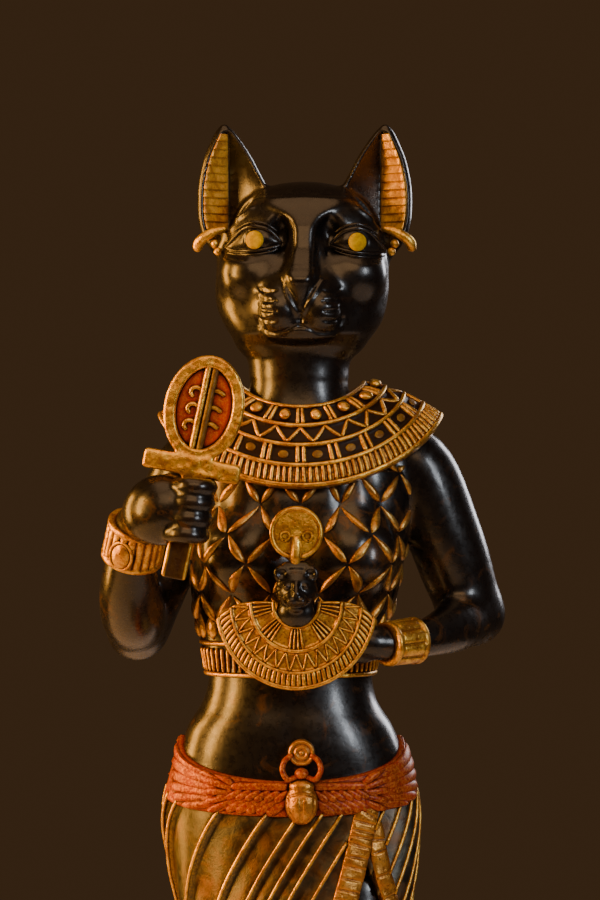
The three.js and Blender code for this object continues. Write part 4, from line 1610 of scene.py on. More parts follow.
skirtForm = {
    "hem": 15,
    "top": 138,
    "cloth": 1.0,
    "pleat": 1.0,
    "fall": 0.08,  # the share of a pleat that falls away past its ridge
    "tuck": 0.35,  # how far up the belt the cloth reaches behind it
    "squareness": 2.1,
    "waistTop": {"front": 144.7, "side": 152.4, "back": 149},
    "waistBottom": {"front": 138, "side": 141.2, "back": 138.4},
    "ridgeLevel": 127.7,
    # Where the pleats' ridges cross that level, in degrees round from her front
    "ridges": [-75, -47, -24.5, -10.2, 0, 9.2, 20.3, 32, 44, 56, 68, 82, 96],
    "backRidges": 13,
    "slitTop": 128.2,
    "slitFloor": 7.6,
    "line": 0.36,
}
skirtRows = [
    [15, -1.2, 15.4, 13.6, 13.4],
    [30, -1.2, 14.8, 13.2, 12.8],
    [55, -1.2, 15.4, 13.4, 12.4],
    [78, -1.2, 16.8, 14, 12.8],
    [100, -1.2, 19, 13.8, 14],
    [118, -1.5, 20.4, 13.2, 15.6],
    [128, -1.8, 22.1, 12.6, 16.4],
    [138.6, -2.1, 22.8, 12.6, 16.6],
    [146.7, -1.9, 21.1, 12.9, 15.2],
    [153, -2.3, 19.3, 12.9, 13.4],
]
skirtAt = profile(skirtRows)
# The slit's left and right edge by height
slitAt = profile([
    [10, 0.2, 18], [50, 1.4, 17.4], [84, 4, 16.6],
    [106, 6.5, 16.2], [120, 9.8, 15.1], [128.2, 12, 12.2],
])


def beltZ(turn, share):
    # The height at a turn: 0 at the belt's lower edge, 1 at its upper.
    ahead = np.cos(turn)
    low, high = (
        mix(edge["side"], np.where(ahead > 0, edge["front"], edge["back"]), np.abs(ahead) ** 0.9)
        for edge in (skirtForm["waistBottom"], skirtForm["waistTop"])
    )
    return mix(low, high, share)


def clothPoint(z, turn, proud):
    proud = skirtForm["cloth"] + proud
    middle, half, front, back = np.moveaxis(skirtAt(z), -1, 0)
    x, y = around(turn, middle, half + proud, front + proud, back + proud, skirtForm["squareness"])
    return stacked(x, y, z)


def pleatLean(z):
    rise = (z - skirtForm["hem"]) / (skirtForm["top"] - skirtForm["hem"])
    return (20 * rise + 95 * rise ** 2) * degree


def ridgeTurns():
    # Every ridge's turn at the reference level, once round, in degrees.
    front = skirtForm["ridges"]
    start, stop = front[-1], front[0] + 360
    step = (stop - start) / (skirtForm["backRidges"] + 1)
    return np.array(front + [start + step * (i + 1) for i in range(skirtForm["backRidges"])])


def skirtPoint(turn, z, proud):
    # The cloth with its slit pushed in; the slit shows only in front.
    point = clothPoint(z, turn, proud)
    left, right = np.moveaxis(slitAt(z), -1, 0)
    x = point[..., 0]
    inside = np.minimum(x - left, right - x)
    cut = smooth((inside + 0.35) / 0.7) * (z < skirtForm["slitTop"]) * (point[..., 1] < 0)
    floor = np.maximum(point[..., 1], -skirtForm["slitFloor"])
    point[..., 1] = mix(point[..., 1], floor, cut)
    return point


def makeSkirt():
    form = skirtForm
    hem, top, fall = form["hem"], form["top"], form["fall"]
    ridges = ridgeTurns() * degree - pleatLean(form["ridgeLevel"])
    rows, columns = 150, 400
    turn = roundTurns(columns) - math.pi
    rise2, turn2 = np.meshgrid(np.linspace(0, 1, rows), turn, indexing="ij")
    z = mix(hem, beltZ(turn2, form["tuck"]), rise2)
    # Each pleat climbs gently to its ridge and falls away steeply past it
    phase = (turn2 - pleatLean(mix(hem, top, rise2)) - ridges[0]) % fullTurn
    marks = np.append(ridges - ridges[0], fullTurn)
    index = np.clip(np.searchsorted(marks, phase, side="right") - 1, 0, len(marks) - 2)
    wide = marks[index + 1] - marks[index]
    share = (phase - marks[index]) / wide
    climb = smooth((share - fall) / (1 - fall)) * 0.75 + share * 0.25
    lift = np.where(share < fall, 1 - smooth(share / fall), climb)
    proud = form["pleat"] * lift * (0.35 + 0.65 * smooth((1 - rise2) * 30))
    points = skirtPoint(turn2, z, proud)
    ridge = np.exp(-(np.minimum(share, 1 - share) * wide / (1.5 * degree)) ** 2)
    flags = {"ridge": np.append(ridge.ravel(), [0, 0])}
    addPiece("skirt", [loft(points)], "skirtPatina", flags)

    lines = []
    for start in ridges:
        t = np.linspace(0.004, 0.985, 150)
        turn = start + pleatLean(mix(hem, top, t))
        line = skirtPoint(turn, mix(hem, beltZ(turn, form["tuck"]), t), form["pleat"] - 0.02)
        x, y, z = line.T
        left, right = np.moveaxis(slitAt(z), -1, 0)
        hidden = (x > left - 0.6) & (x < right + 0.6) & (y < 0) & (z < form["slitTop"])
        for rows, width in zip((sashForm["left"], sashForm["right"]), sashForm["widths"]):
            heights, middles = np.array(rows)[::-1, :2].T
            across = np.abs(x - np.interp(z, heights, middles))
            behind = (z > heights[0]) & (z < heights[-1] - 1.5)
            hidden |= (across < width * 0.42) & (y < 0) & behind
        runs = np.split(np.arange(len(line)), np.where(np.diff(hidden.astype(int)) != 0)[0] + 1)
        lines.extend(line[run] for run in runs if not hidden[run[0]] and len(run) > 3)
    lines.append(skirtPoint(np.linspace(0, fullTurn, 400), np.full(400, hem + 0.4), 0.5))
    addPiece("pleatLines", [wired(lines, form["line"], 1.1, "paleGold")], "paleGold")


sashForm = {
    # Each band as [z, x, how far out]
    "left": [
        [139.6, 12.2, 1], [128, 9.6, 1], [120, 7.5, 1], [106, 4.5, 0.9],
        [84, 1.8, 0.8], [50, -1, 0.8], [17, -2.6, 0.6],
    ],
    "right": [
        [136.4, 13.6, 0.2], [130.2, 14.4, 0.9], [126.3, 15.1, 1], [121.8, 16.3, 1],
        [114, 17.2, 1], [106, 17.5, 1], [98, 17.2, 0.9], [90, 16.4, 0.6],
    ],
    "widths": [4.8, 3.6],
    "steps": [1.7, 3.4],  # from one crease to the next
    "crease": 0.2,
    "depth": 1.7,
}


def makeSash():
    form = sashForm
    squareness = skirtForm["squareness"]
    rng = np.random.default_rng(3)
    shells = []
    for rows, width, pace in zip((form["left"], form["right"]), form["widths"], form["steps"]):
        path = flowing([[row[1], 0, row[0], row[2]] for row in rows], 14)
        middle, half, front, _ = np.moveaxis(skirtAt(path[:, 2]), -1, 0)
        beside = path[:, 0] - middle
        share = 1 - np.abs(beside / (half + skirtForm["cloth"])) ** squareness
        path[:, 1] = -(front + skirtForm["cloth"]) * np.clip(share, 0.04, 1) ** (1 / squareness)
        out = unit(np.column_stack([beside / (half / front) ** 2, path[:, 1], beside * 0]))
        line = path[:, :3] + out * path[:, 3:]
        across = unit(np.cross(unit(np.gradient(line, axis=0)), out))
        lengths = lengthsAlong(line)

        def place(points):
            at, side, rise = (
                np.stack([np.interp(points[:, 1], lengths, way[:, i]) for i in range(3)], axis=-1)
                for way in (line, across, out)
            )
            return at + side * points[:, :1] + rise * points[:, 2:]

        rows = np.linspace(0, lengths[-1], int(lengths[-1] / 0.2))
        columns = np.array([-0.5, -0.47, -0.38, -0.2, 0, 0.2, 0.38, 0.47, 0.5]) * width
        v, u = np.meshgrid(rows, columns, indexing="ij")
        edge = np.abs(2 * u / width)
        relief = 0.4 * (1 - edge ** 6) + 0.1 * np.sin(v * 1.3 + u)
        at = 0.0
        while at < lengths[-1]:
            at += pace * rng.uniform(0.6, 1.4)
            lean = rng.normal(0, 0.12)
            deep = (1 - 0.7 * edge ** 3) * rng.uniform(0.3, 0.5)
            relief -= deep * np.exp(-((v - at - lean * u) / form["crease"]) ** 2)
        face, back = (
            place(stacked(u, v, height).reshape(-1, 3)).reshape(*u.shape, 3)
            for height in (relief, -form["depth"])
        )
        shells.append(slab(face, back))
    addPiece("sash", shells, "sashGold")


beltForm = {
    "wall": 1.1,
    "sunk": -3.5,
    "barEnd": 13.2,  # mm from her middle to where the wing opens out
    "bar": [1.7, 0.5],  # width and height
    "fan": 6,
    "fanRoot": [12.6, 142.8],
    "wingTurn": 92,  # degrees, where the wing tips end
    "beetleShift": 1.9,
    "backLines": (0.12, 0.34, 0.56, 0.78, 0.92),
    "line": 0.3,
}


def beltPoint(turn, share, proud):
    # share is the height in tenths of a metre; heights past an edge stay on it
    z = np.clip(share * 100, beltZ(turn, 0) + 0.15, beltZ(turn, 1) - 0.15)
    return clothPoint(z, turn, proud)


def makeBelt():
    form = beltForm
    wall = form["wall"]
    turns = np.linspace(-math.pi, math.pi, 421)[:-1]
    rows = [(0, -0.7), (0.0, 0.75 * wall), (0.035, wall)]
    rows += [(share, wall) for share in np.linspace(0.1, 0.9, 12)]
    rows += [(0.965, 0.95 * wall), (1.0, 0.6 * wall), (1.0, form["sunk"]), (0, form["sunk"])]
    rings = [clothPoint(beltZ(turns, share), turns, proud) for share, proud in rows]
    addPiece("belt", [hoop(rings)], "redEnamel")

    band = Band(beltPoint, 100, 1.41)
    rng = np.random.default_rng(8)
    feathers, bars = [], []
    tip = np.interp(form["wingTurn"] * degree, band.turns, band.lengths)

    def middle(side, u):
        # The wings spring from the beetle, which sits beside the cloth's own middle
        return side * u + form["beetleShift"] * (1 - u / tip)

    for side in bothSides:

        def add(u, v, angle, width, length, height):
            # angle is above the level, pointing outwards
            feathers.append([middle(side, u), v, wall, -side * (90 - angle), width, length, height])

        along, (wide, high) = middle(side, (2 + form["barEnd"]) / 2), form["bar"]
        bars.append([along, 143.75, wall, 90, wide, form["barEnd"] - 2, high])
        for i in range(7):
            add(2.2 + 1.65 * i, 142.9 + 0.03 * i, -36 + i, 1.72, 3.3, 0.6 + rng.normal(0, 0.02))
        for i in range(7):
            add(2 + 1.75 * i, 141.4 + 0.05 * i, -35 + i, 1.9, 5 - 0.05 * i, 0.42)
        root = np.array(form["fanRoot"])
        for i in range(form["fan"]):
            t = i / (form["fan"] - 1)
            end = np.array([mix(22, tip, t ** 0.6), mix(139.7, 150.6, t ** 1.2)])
            start = root + [0.8 * math.cos(t * 2), mix(-2.2, 1.2, t)]
            angle = math.degrees(math.atan2(end[1] - start[1], end[0] - start[0]))
            add(*start, angle, mix(1.95, 2.5, t), math.dist(start, end), 0.55)
        for i in range(5):
            t = i / 4
            add(root[0] - 0.4, mix(141, 144, t), mix(-28, 34, t), 1.7, mix(4.6, 6, t), 0.75)
    finish = "redFeathers"
    shells = [stamped("feather", feathers, finish), stamped("bar", bars, finish)]
    addPiece("beltFeathers", [band.wrap(shell) for shell in shells], finish)

    edge = form["wingTurn"] * degree + 0.02
    back = (np.linspace(edge, fullTurn - edge, 140) + math.pi) % fullTurn - math.pi
    lines = [clothPoint(beltZ(back, share), back, wall) for share in form["backLines"]]
    rim = clothPoint(beltZ(turns, 1) - 0.45, turns, wall * 0.75)
    lines.append(np.concatenate([rim, rim[:1]]))
    addPiece("beltLines", [wired(lines, form["line"], 0.9, finish)], finish)


# Legs, feet and plinth

legForm = {
    "box": ((-17, -37, -1), (18, 20, 126)),
    "cell": 0.5,
    "left": [
        [9.6, -1.4, 122, 9],
        [9.7, -4.6, 100, 8.6],
        [9.8, -6.8, 80, 7.6],
        [9.7, -7.2, 66, 7.1],
        [9.6, -5.6, 50, 6.6],
        [9.4, -5, 36, 5.6],
        [9.2, -4.6, 14, 3.9],
        [9.3, -4.2, 4, 3.9],
    ],
    "right": [[-9.4, 6, 34, 5.4], [-9.5, 9, 20, 4.3], [-9.6, 11, 10, 4], [-9.6, 11.8, 4, 4]],
    "knee": ([9.7, -9.6, 68], [6, 5.6, 8]),
    "ankles": ((9.4, -4), (-9.6, 11.6)),
    "ankle": ([3.3, 0, 7.4], [1.5, 1.9, 1.7]),
    "leftFoot": [9.4, 1, -34],  # x, heel and toe
    "rightFoot": [-9.6, 17, -19],
    # Across, share of the way to the toes, z, radius
    "instep": [
        (0, 0.12, 3.4, 3.5), (0.3, 0.34, 4.6, 3.7), (0.6, 0.56, 3.1, 3.7), (0.7, 0.74, 1.9, 3.3),
    ],
    "toes": 5,
}


def sculptFoot(clay, foot, side):
    middle, heel, toe = foot

    def place(x, share, z, radius):
        return [middle + side * x, mix(heel, toe, share), z, radius]

    clay.add(rope([place(*row) for row in legForm["instep"]]), 1.5)
    clay.add(rope([place(-2.4, 0.6, 1.7, 2.2), place(3, 0.64, 1.5, 2)]), 1.5)
    for i in range(legForm["toes"]):
        across = mix(-3.4, 3.8, i / (legForm["toes"] - 1))
        tip = 0.93 - 0.026 * i ** 1.5
        radius = 1.15 if i else 1.6
        rows = [place(0.5 + across * 0.8, 0.7, 1.4, radius), place(0.5 + across, tip, 1.0, radius)]
        clay.add(rope(rows, 3), 0.4)
        x, y, z, _ = rows[1]
        nail = [x, y - radius * 0.35, z + radius * 0.95]
        clay.cut(ball(nail, [radius * 0.6, radius * 0.75, 0.28]), 0.15)


def makeLegs():
    form = legForm
    clay = Clay(*form["box"], form["cell"])
    clay.add(rope(form["left"]), 1)
    clay.add(rope(form["right"]), 1)
    clay.add(ball(*form["knee"]), 3)
    place, radii = form["ankle"]
    for x, y in form["ankles"]:
        for side in bothSides:
            clay.add(ball([x + side * place[0], y, place[2]], radii), 1)
    sculptFoot(clay, form["leftFoot"], 1)
    sculptFoot(clay, form["rightFoot"], -1)
    clay.soften()
    addPiece("legs", [clay.skin()], "blackGloss")


plinthForm = {"beside": 15, "ledge": 10, "chamfer": 1.4, "corner": 1.2, "round": 0.3}


def makePlinth():
    form = plinthForm
    leftFoot, rightFoot = legForm["leftFoot"], legForm["rightFoot"]
    half = max(leftFoot[0], -rightFoot[0]) + form["beside"]
    deep = (rightFoot[1] - leftFoot[2]) / 2 + form["ledge"]
    top = figure["soleSink"]
    foot = top - figure["plinthHeight"]
    middle = -figure["setBack"]

    def ring(inset, z):
        bend = max(form["corner"] - inset, 0.3)
        points = []
        for quarter in range(4):
            x = (half - inset - bend) * (1 if quarter in (0, 3) else -1)
            y = middle + (deep - inset - bend) * (1 if quarter < 2 else -1)
            for turn in (quarter + np.arange(7) / 6) * math.pi / 2:
                points.append([x + bend * math.cos(turn), y + bend * math.sin(turn), z])
        sides = []
        for a, b in zip(points, points[1:] + points[:1]):
            steps = 1 if math.dist(a, b) < 2 else 24
            sides.extend(mix(np.array(a), np.array(b), i / steps) for i in range(steps))
        return sides

    chamfer, small = form["chamfer"], form["round"]
    rings = [ring(small, foot), ring(0, foot + small), ring(0, foot + 2.2), ring(0, foot + 5)]
    rings += [ring(0, top - chamfer), ring(chamfer * 0.3, top - chamfer * 0.35), ring(chamfer, top)]
    rings += [ring(chamfer + inward, top) for inward in (0.8, 2.4, 5, 8, 11, 14, 17)]
    addPiece("plinth", [loft(rings)], "blackGloss", sharp=50)


# What she carries: the collar shield with its lion head, and the looped cross

shieldForm = {
    "middle": [-1.1, -22.4, 178.8],
    "half": 15.3,
    "drop": 16.3,
    "neck": 4,
    "sweep": 93,  # degrees to each side of straight down, at the neck
    "rimSweep": 79,  # and at the outer rim
    "wall": 3.2,
    "rims": [[0, 0.06], [0.372, 0.43], [0.712, 0.758], [0.935, 1]],
    "rimProud": 0.5,
    "width": 11.3,
    "zigzags": 15,
    "zigzag": 0.24,
    "teeth": 42,
    "tooth": [0.86, 0.42],  # width and height
    "groups": (-83, -45, 0, 45, 83),  # degrees, where bars stand in fours
    "bar": [0.8, 0.4],
}


def shieldPoint(turn, share, proud):
    form = shieldForm
    reach = mix(form["neck"], form["half"], share)
    fall = mix(form["neck"], form["drop"], share)
    turn = turn * mix(1, form["rimSweep"] / form["sweep"], share ** 2.5)
    across = np.sin(turn) * reach
    down = -np.cos(turn) * fall
    bow = 2.2 * (across / form["half"]) ** 2 + 1.2 * (down / form["drop"]) ** 2
    x, y, z = form["middle"]
    return stacked(x + across, y + bow - proud, z + down)


def makeShield():
    form = shieldForm
    rims, width, gold = form["rims"], form["width"], "antiqueGold"
    sweep = form["sweep"] * degree
    shares = rimShares(rims, 5)
    turns = np.linspace(-sweep, sweep, 200)[:, None]
    relief = rimRelief(shares, rims, form["rimProud"])
    face = shieldPoint(turns, shares[None], relief[None])
    back = shieldPoint(turns, shares[None], -form["wall"])
    # The outer floor is marked to take most of the wash: antiquing with painted shade
    floor = ((relief < 0.1) & (shares > rims[2][1])).astype(float) * 0.8
    floor = np.broadcast_to(floor, face.shape[:2]).ravel()
    addPiece("shield", [slab(face, back)], gold, {"floor": np.append(floor, floor * 0)})

    band = Band(shieldPoint, width, 0.72)
    rng = np.random.default_rng(21)
    rows, lengths = rowsBetween(rims, width)
    ends = np.interp([-sweep, sweep], band.turns, band.lengths)
    bars = []
    wide, high = form["tooth"]
    for place in mix(ends[0], ends[1], (np.arange(form["teeth"]) + 0.5) / form["teeth"]):
        bars.append([place, rows[2], 0, rng.normal(0, 1.5), wide, lengths[2] + 0.4, high])
    wide, high = form["bar"]
    for group in form["groups"]:
        for i in range(4):
            turn = (group + (i - 1.5) * 6) * degree
            place = np.interp(turn, band.turns, band.lengths)
            bars.append([place, rows[0], 0, rng.normal(0, 1), wide, lengths[0] + 0.3, high])
    leans = [0] * form["zigzags"]
    step = (ends[1] - ends[0]) / len(leans)
    zigzag = zigzagLines(ends[0], step, leans, rims[2][0] * width, rims[1][1] * width, 0.05)
    shells = [stamped("bar", bars, gold), wired(zigzag, form["zigzag"], 0.5, gold)]
    addPiece("shieldRelief", [band.wrap(shell) for shell in shells], gold)
    makeLionHead()
    makeSunDisc()


# Places here count from the shield's middle
lionForm = {
    "box": ((-6, -7, -6), (6, 5, 9)),
    "cell": 0.2,
    "swells": [  # middle, radii, softness
        ([0, 0.6, -1.4], [3.7, 2.4, 3.4], 0),
        ([0, 0.2, 2.6], [3.9, 3.1, 3.9], 0.8),
        ([0, 0.6, 6.6], [3.6, 1.7, 1.5], 0.4),
        ([0, -2.3, 1], [2.1, 1.9, 1.5], 0.6),
        ([0, -1.2, -0.9], [1.5, 1.5, 0.8], 0.4),
    ],
    "nose": [[0, -2.6, 3.8, 0.6], [0, -3.7, 2, 0.75]],
    "pairs": [  # ears, eyes and whisker pads; 1 adds and -1 cuts
        ([2.7, -0.4, 5.6], [1.6, 1.1, 1.6], 0.3, 1),
        ([2.7, -1.5, 5.6], [0.95, 0.7, 0.95], 0.15, -1),
        ([1.7, -3.3, 3.3], [1, 0.9, 0.75], 0.25, -1),
        ([1.7, -2.4, 3.3], [0.7, 0.5, 0.5], 0.15, 1),
        ([0.9, -3.5, 0.7], [0.95, 0.9, 0.75], 0.25, 1),
    ],
    "mane": [[3, -1.9, 3, 0.2], [4.6, 0.4, 3.3, 0.2]],
    "maneStep": [0, 0, -1.5, 0],
    "manes": 4,
    "lips": [[-1.5, -4, -0.2, 0.2], [0, -4.4, 0.1, 0.2], [1.5, -4, -0.2, 0.2]],
}
discForm = {
    "middle": [0, 1.4, 13.2],
    "radius": 5.05,
    "rows": [  # share of the radius, and y
        (0.985, 1.3), (1, 1.0), (1, -0.9), (0.985, -1.2), (0.93, -1.45),
        (0.86, -1.4), (0.83, -1.05), (0.5, -1.15), (0.1, -1.2),
    ],
    "snake": [[-0.1, -0.2, 7.6, 0.9], [-0.1, -0.5, 9, 1], [0, -0.5, 10.6, 1], [0, -0.4, 11.8, 0.9]],
    "curl": [2.1, 0.1, 12.6],
    "curlRadius": 0.85,
}


def moved(shell, place):
    points, faces = shell
    return points + np.array(place), faces


def makeLionHead():
    form = lionForm
    clay = Clay(*form["box"], form["cell"])
    for middle, radii, soft in form["swells"]:
        clay.add(ball(middle, radii), soft)
    clay.add(rope(form["nose"], 3), 0.5)
    for side in bothSides:
        for place, radii, soft, sign in form["pairs"]:
            clay.join(ball(mirrored([place], side)[0], radii), soft, sign)
        for i in range(form["manes"]):
            groove = np.array(form["mane"]) + np.array(form["maneStep"]) * i
            clay.cut(rope(mirrored(groove, side), 3), 0.2)
    clay.cut(rope(form["lips"], 3), 0.15)
    clay.soften()
    addPiece("lionHead", [moved(clay.skin(), shieldForm["middle"])], "blackLion")


def makeSunDisc():
    form = discForm
    radius, curl = form["radius"], form["curlRadius"]
    snake = flowing(form["snake"], 6)
    shells = [
        spun(form["rows"], 56, form["middle"], [radius, 0, 0], [0, 0, radius], [0, 1, 0]),
        tube(snake[:, :3], snake[:, 3], 10, 0.8),
    ]
    x, y, z = form["curl"]
    for side in bothSides:
        turns = np.linspace(-0.5, 1.62, 22) * math.pi
        line = [[x + curl * math.cos(turn), y, z + curl * math.sin(turn)] for turn in turns]
        shells.append(tube(mirrored(line, side), 0.24, 6))
    shells = [moved(shell, shieldForm["middle"]) for shell in shells]
    addPiece("sunDisc", shells, "brightGold", sharp=60)


crossForm = {
    "box": ((-12, -4, -23), (12, 4, 23.5)),
    "cell": 0.32,
    "middle": [-20.5, -30.6, 204],
    "tilt": 12,
    "wall": 3.0,
    "half": 7.4,
    "height": 9.9,
    "band": 2.3,
    "rise": 11.5,
    "barHalf": 9.1,
    "barThick": 1.8,
    "shaft": 2.3,
    "shaftShift": 0.9,
    "below": 20.4,
    "dents": [46, 26],  # hammer marks round the loop and on the bar
    "rod": 0.68,
    "arm": 0.42,
    "leftArm": [
        [-1, -0.5, 0], [-2, -0.6, 0.25], [-2.8, -0.6, -0.1], [-3, -0.55, -0.9], [-2.6, -0.5, -1.4],
    ],
    "rightArm": [[1, -0.5, 0.2], [2, -0.6, 0.3], [3, -0.55, -0.1]],
    "armTop": 3.3,
    "armStep": 3.1,
    # Her left rod and arms have lost most of their gold
    "worn": [0, 0.8, 0, 0.5, 0, 0.5, 0, 0.5],
}


def standCross(shell):
    # From the cross's own flat place (x across, y out behind, z up) to her hand.
    tilt = crossForm["tilt"] * degree
    x, y, z = shell[0].T
    cos, sin = math.cos(tilt), math.sin(tilt)
    return stacked(x * cos + z * sin, y, z * cos - x * sin) + crossForm["middle"], shell[1]


def ovalRing(rise, half, height, band, wall):
    # A flat ring of even width round an oval; lies across x and z.
    def distance(x, y, z):
        z = z - rise
        near = np.sqrt((x / half) ** 2 + (z / height) ** 2)
        steep = np.maximum(np.sqrt((x / half ** 2) ** 2 + (z / height ** 2) ** 2), 1e-6)
        rim = near * (near - 1) / steep
        flat = np.abs(rim + band / 2) - band / 2 + 0.3
        deep = np.abs(y) - wall / 2 + 0.3
        outside = np.sqrt(np.maximum(flat, 0) ** 2 + np.maximum(deep, 0) ** 2)
        return outside + np.minimum(np.maximum(flat, deep), 0) - 0.3

    reach = np.array([half, wall / 2, height])
    return [0, 0, rise] - reach, [0, 0, rise] + reach, distance


def makeCross():
    form = crossForm
    wall, half, height, rise = form["wall"], form["half"], form["height"], form["rise"]
    shaft, shift, foot = form["shaft"], form["shaftShift"], form["below"] / 2
    clay = Clay(*form["box"], form["cell"])
    clay.add(ovalRing(rise, half, height, form["band"], wall))
    clay.add(block([shift, 0, -foot + 1.4], [shaft, wall / 2, foot + 1.4], edge=0.35), 0.3)
    clay.cut(block([shift, -wall / 2, -foot - 1], [shaft - 0.6, 0.35, foot + 0.4]), 0.1)
    bar = [form["barHalf"], wall / 2 + 0.2, form["barThick"]]
    clay.add(block([0, 0, 0.6], bar, (0, -0.5, 0), edge=0.5), 0.6)
    for side in (-4, 4):
        clay.cut(block([0, side, 0], [12, 4 - wall / 2 - 0.2, 23.5]), 0.2)
    rng = np.random.default_rng(17)
    onLoop, onBar = form["dents"]
    for _ in range(onLoop):
        turn = rng.uniform(0, fullTurn)
        x, z = math.sin(turn) * (half - 1.1), rise + math.cos(turn) * (height - 1.1)
        clay.cut(ball([x, -wall / 2 - 0.75, z], [0.9, 0.9, 0.9]), 0.3)
    for _ in range(onBar):
        spot = [rng.uniform(-8.6, 8.6), -wall / 2 - 0.9, rng.uniform(-1.4, 1.8)]
        clay.cut(ball(spot, [1, 0.95, 0.8]), 0.3)
    clay.soften()
    shell = clay.skin()
    x, y, z = shell[0].T
    # The channel down the shaft is marked to take the wash: antiquing with painted shade
    panel = (np.abs(x - shift) < shaft - 0.5) & (y < 0) & (z < -2.4)
    addPiece("cross", [standCross(shell)], "crossGold", {"floor": panel * 0.97})

    inner = [half - form["band"] + 0.3, 0, 0], [0, 0, height - form["band"] + 0.3]
    rows = [(1, 1.1), (1, -0.25), (0.9, -0.35), (0.4, -0.35)]
    panel = spun(rows, 60, [0, 0, rise], *inner, [0, 1, 0])
    addPiece("crossEnamel", [standCross(panel)], "redPanel")

    shells = []
    for x in (-form["rod"], form["rod"]):
        top, low = rise + height - 1.4, rise - height + 1.4
        stem = flowing([[x, -0.5, top], [x, -0.75, rise], [x, -0.5, low]], 10)
        shells.append(tube(stem, form["rod"], 8))
    for i in range(3):
        level = [0, 0, rise + form["armTop"] - form["armStep"] * i]
        for rows in (form["leftArm"], form["rightArm"]):
            shells.append(tube(flowing(np.array(rows) + level, 6), form["arm"], 7))
    marks = {"floor": np.repeat(form["worn"], [len(points) for points, _ in shells])}
    addPiece("crossRods", [standCross(shell) for shell in shells], "crossGold", marks)


# Bracelets: ribbed sleeves that flare towards the elbow

braceletForm = {
    # From wrist and to elbow, the radius there, and how many ribs
    "right": ([-30.5, -22.6, 194], [-32.1, -18.6, 187], (5.1, 5.2), 20),
    "left": ([15.8, -16, 170.8], [21.6, -11, 171.3], (3.6, 3.9), 9),
    "rib": 0.6,
    # Share along it, how far out, and how much of the ribs shows
    "rows": [
        (0, -1.3, 0), (0, 0.3, 0), (0.03, 0.62, 0), (0.12, 0.62, 0), (0.15, 0.1, 0.6),
        *((share, 0, 1) for share in np.linspace(0.18, 0.82, 9)),
        (0.85, 0.1, 0.6), (0.88, 0.62, 0), (0.97, 0.62, 0), (1, 0.3, 0), (1, -1.3, 0),
    ],
    # An oval boss in a round frame, on the side of the right sleeve that faces forward
    "bossFaces": [-0.42, -0.8, -0.4],
    "bossShare": 0.6,
    "bossReach": 5.5,
    "boss": [2.4, 1.75],
    "frame": [2.9, 2.2],
    "bossRows": [(1.1, -1.5), (1.1, 0.1), (1.0, 0.35), (0.8, 0.6), (0.5, 0.85), (0.15, 0.95)],
}


def sleeve(wrist, elbow, radii, ribs):
    start, stop = np.array(wrist), np.array(elbow)
    along = unit(stop - start)
    side = unit(np.cross(along, [0, 0, 1]))
    up = np.cross(side, along)
    turns = roundTurns(ribs * 12)
    rib = braceletForm["rib"] * np.abs(np.sin(turns * ribs / 2)) ** 0.5
    rings = []
    for share, proud, ribbed in braceletForm["rows"]:
        radius = mix(*radii, share ** 0.8) + proud + rib * ribbed
        across = side * (radius * np.cos(turns))[:, None]
        rings.append(mix(start, stop, share) + across + up * (radius * np.sin(turns))[:, None])
    return hoop(rings), start, stop, along


def makeBracelets():
    form = braceletForm
    leftSleeve = sleeve(*form["left"])[0]
    rightSleeve, start, stop, along = sleeve(*form["right"])
    out = unit(np.array(form["bossFaces"]))
    out = unit(out - along * (out @ along))
    across = np.cross(along, out)
    middle = mix(start, stop, form["bossShare"]) + out * form["bossReach"]
    wide, high = form["boss"]
    boss = spun(form["bossRows"], 40, middle, along * wide, across * high, out)
    wide, high = form["frame"]
    turns = np.linspace(0, fullTurn, 41)[:, None]
    oval = middle + along * (wide * np.cos(turns)) + across * (high * np.sin(turns))
    shells = [rightSleeve, leftSleeve, boss, wired([oval], 0.34, 0.5, "antiqueGold")]
    addPiece("bracelets", shells, "antiqueGold")


# The beetle at the middle of the belt; places count from its middle

beetleForm = {
    "middle": [-0.1, -15.1, 140.9],
    "box": ((-6, -5, -7), (6, 5, 7)),
    "cell": 0.2,
    "body": ([0, -0.1, -0.3], [3.1, 2.3, 4]),
    "neck": ([0, -0.3, 3], [2.4, 1.7, 1.5]),
    # Grooves laid on its front, as [x, z, radius]
    "parting": [[0.22, 1.4, 0.2], [0.22, -1, 0.2], [0.132, -3.6, 0.16]],
    "collar": [[-2.7, 1.1, 0.2], [-1.4, 1.6, 0.24], [1.4, 1.6, 0.24], [2.7, 1.1, 0.2]],
    "wingRim": [[2.45, 1, 0.18], [2.3, -1.6, 0.2], [1.2, -3.5, 0.16]],
    "disc": [0, 0.7, 9.3],
    "discRows": [  # radius and y
        (2.5, 1.6), (2.55, 0.8), (2.55, -0.6), (2.42, -1.05), (2.15, -1.2), (1.9, -1.05),
        (1.75, -0.8), (1.55, -0.78), (1.35, -1.05), (1.1, -1.2), (0.85, -1.1), (0.7, -0.9),
        (0.5, -0.9), (0.35, -1.1), (0.12, -1.2),
    ],
    "head": ([0, -0.6, 5.4], [1.35, 1.2, 1.2]),
    "leg": [[0.9, -0.7, 4.8], [2.6, -0.9, 4.4], [3.6, -0.8, 6], [3.2, -0.4, 7.8], [2, -0.1, 8.8]],
    "legRadius": 0.56,
}


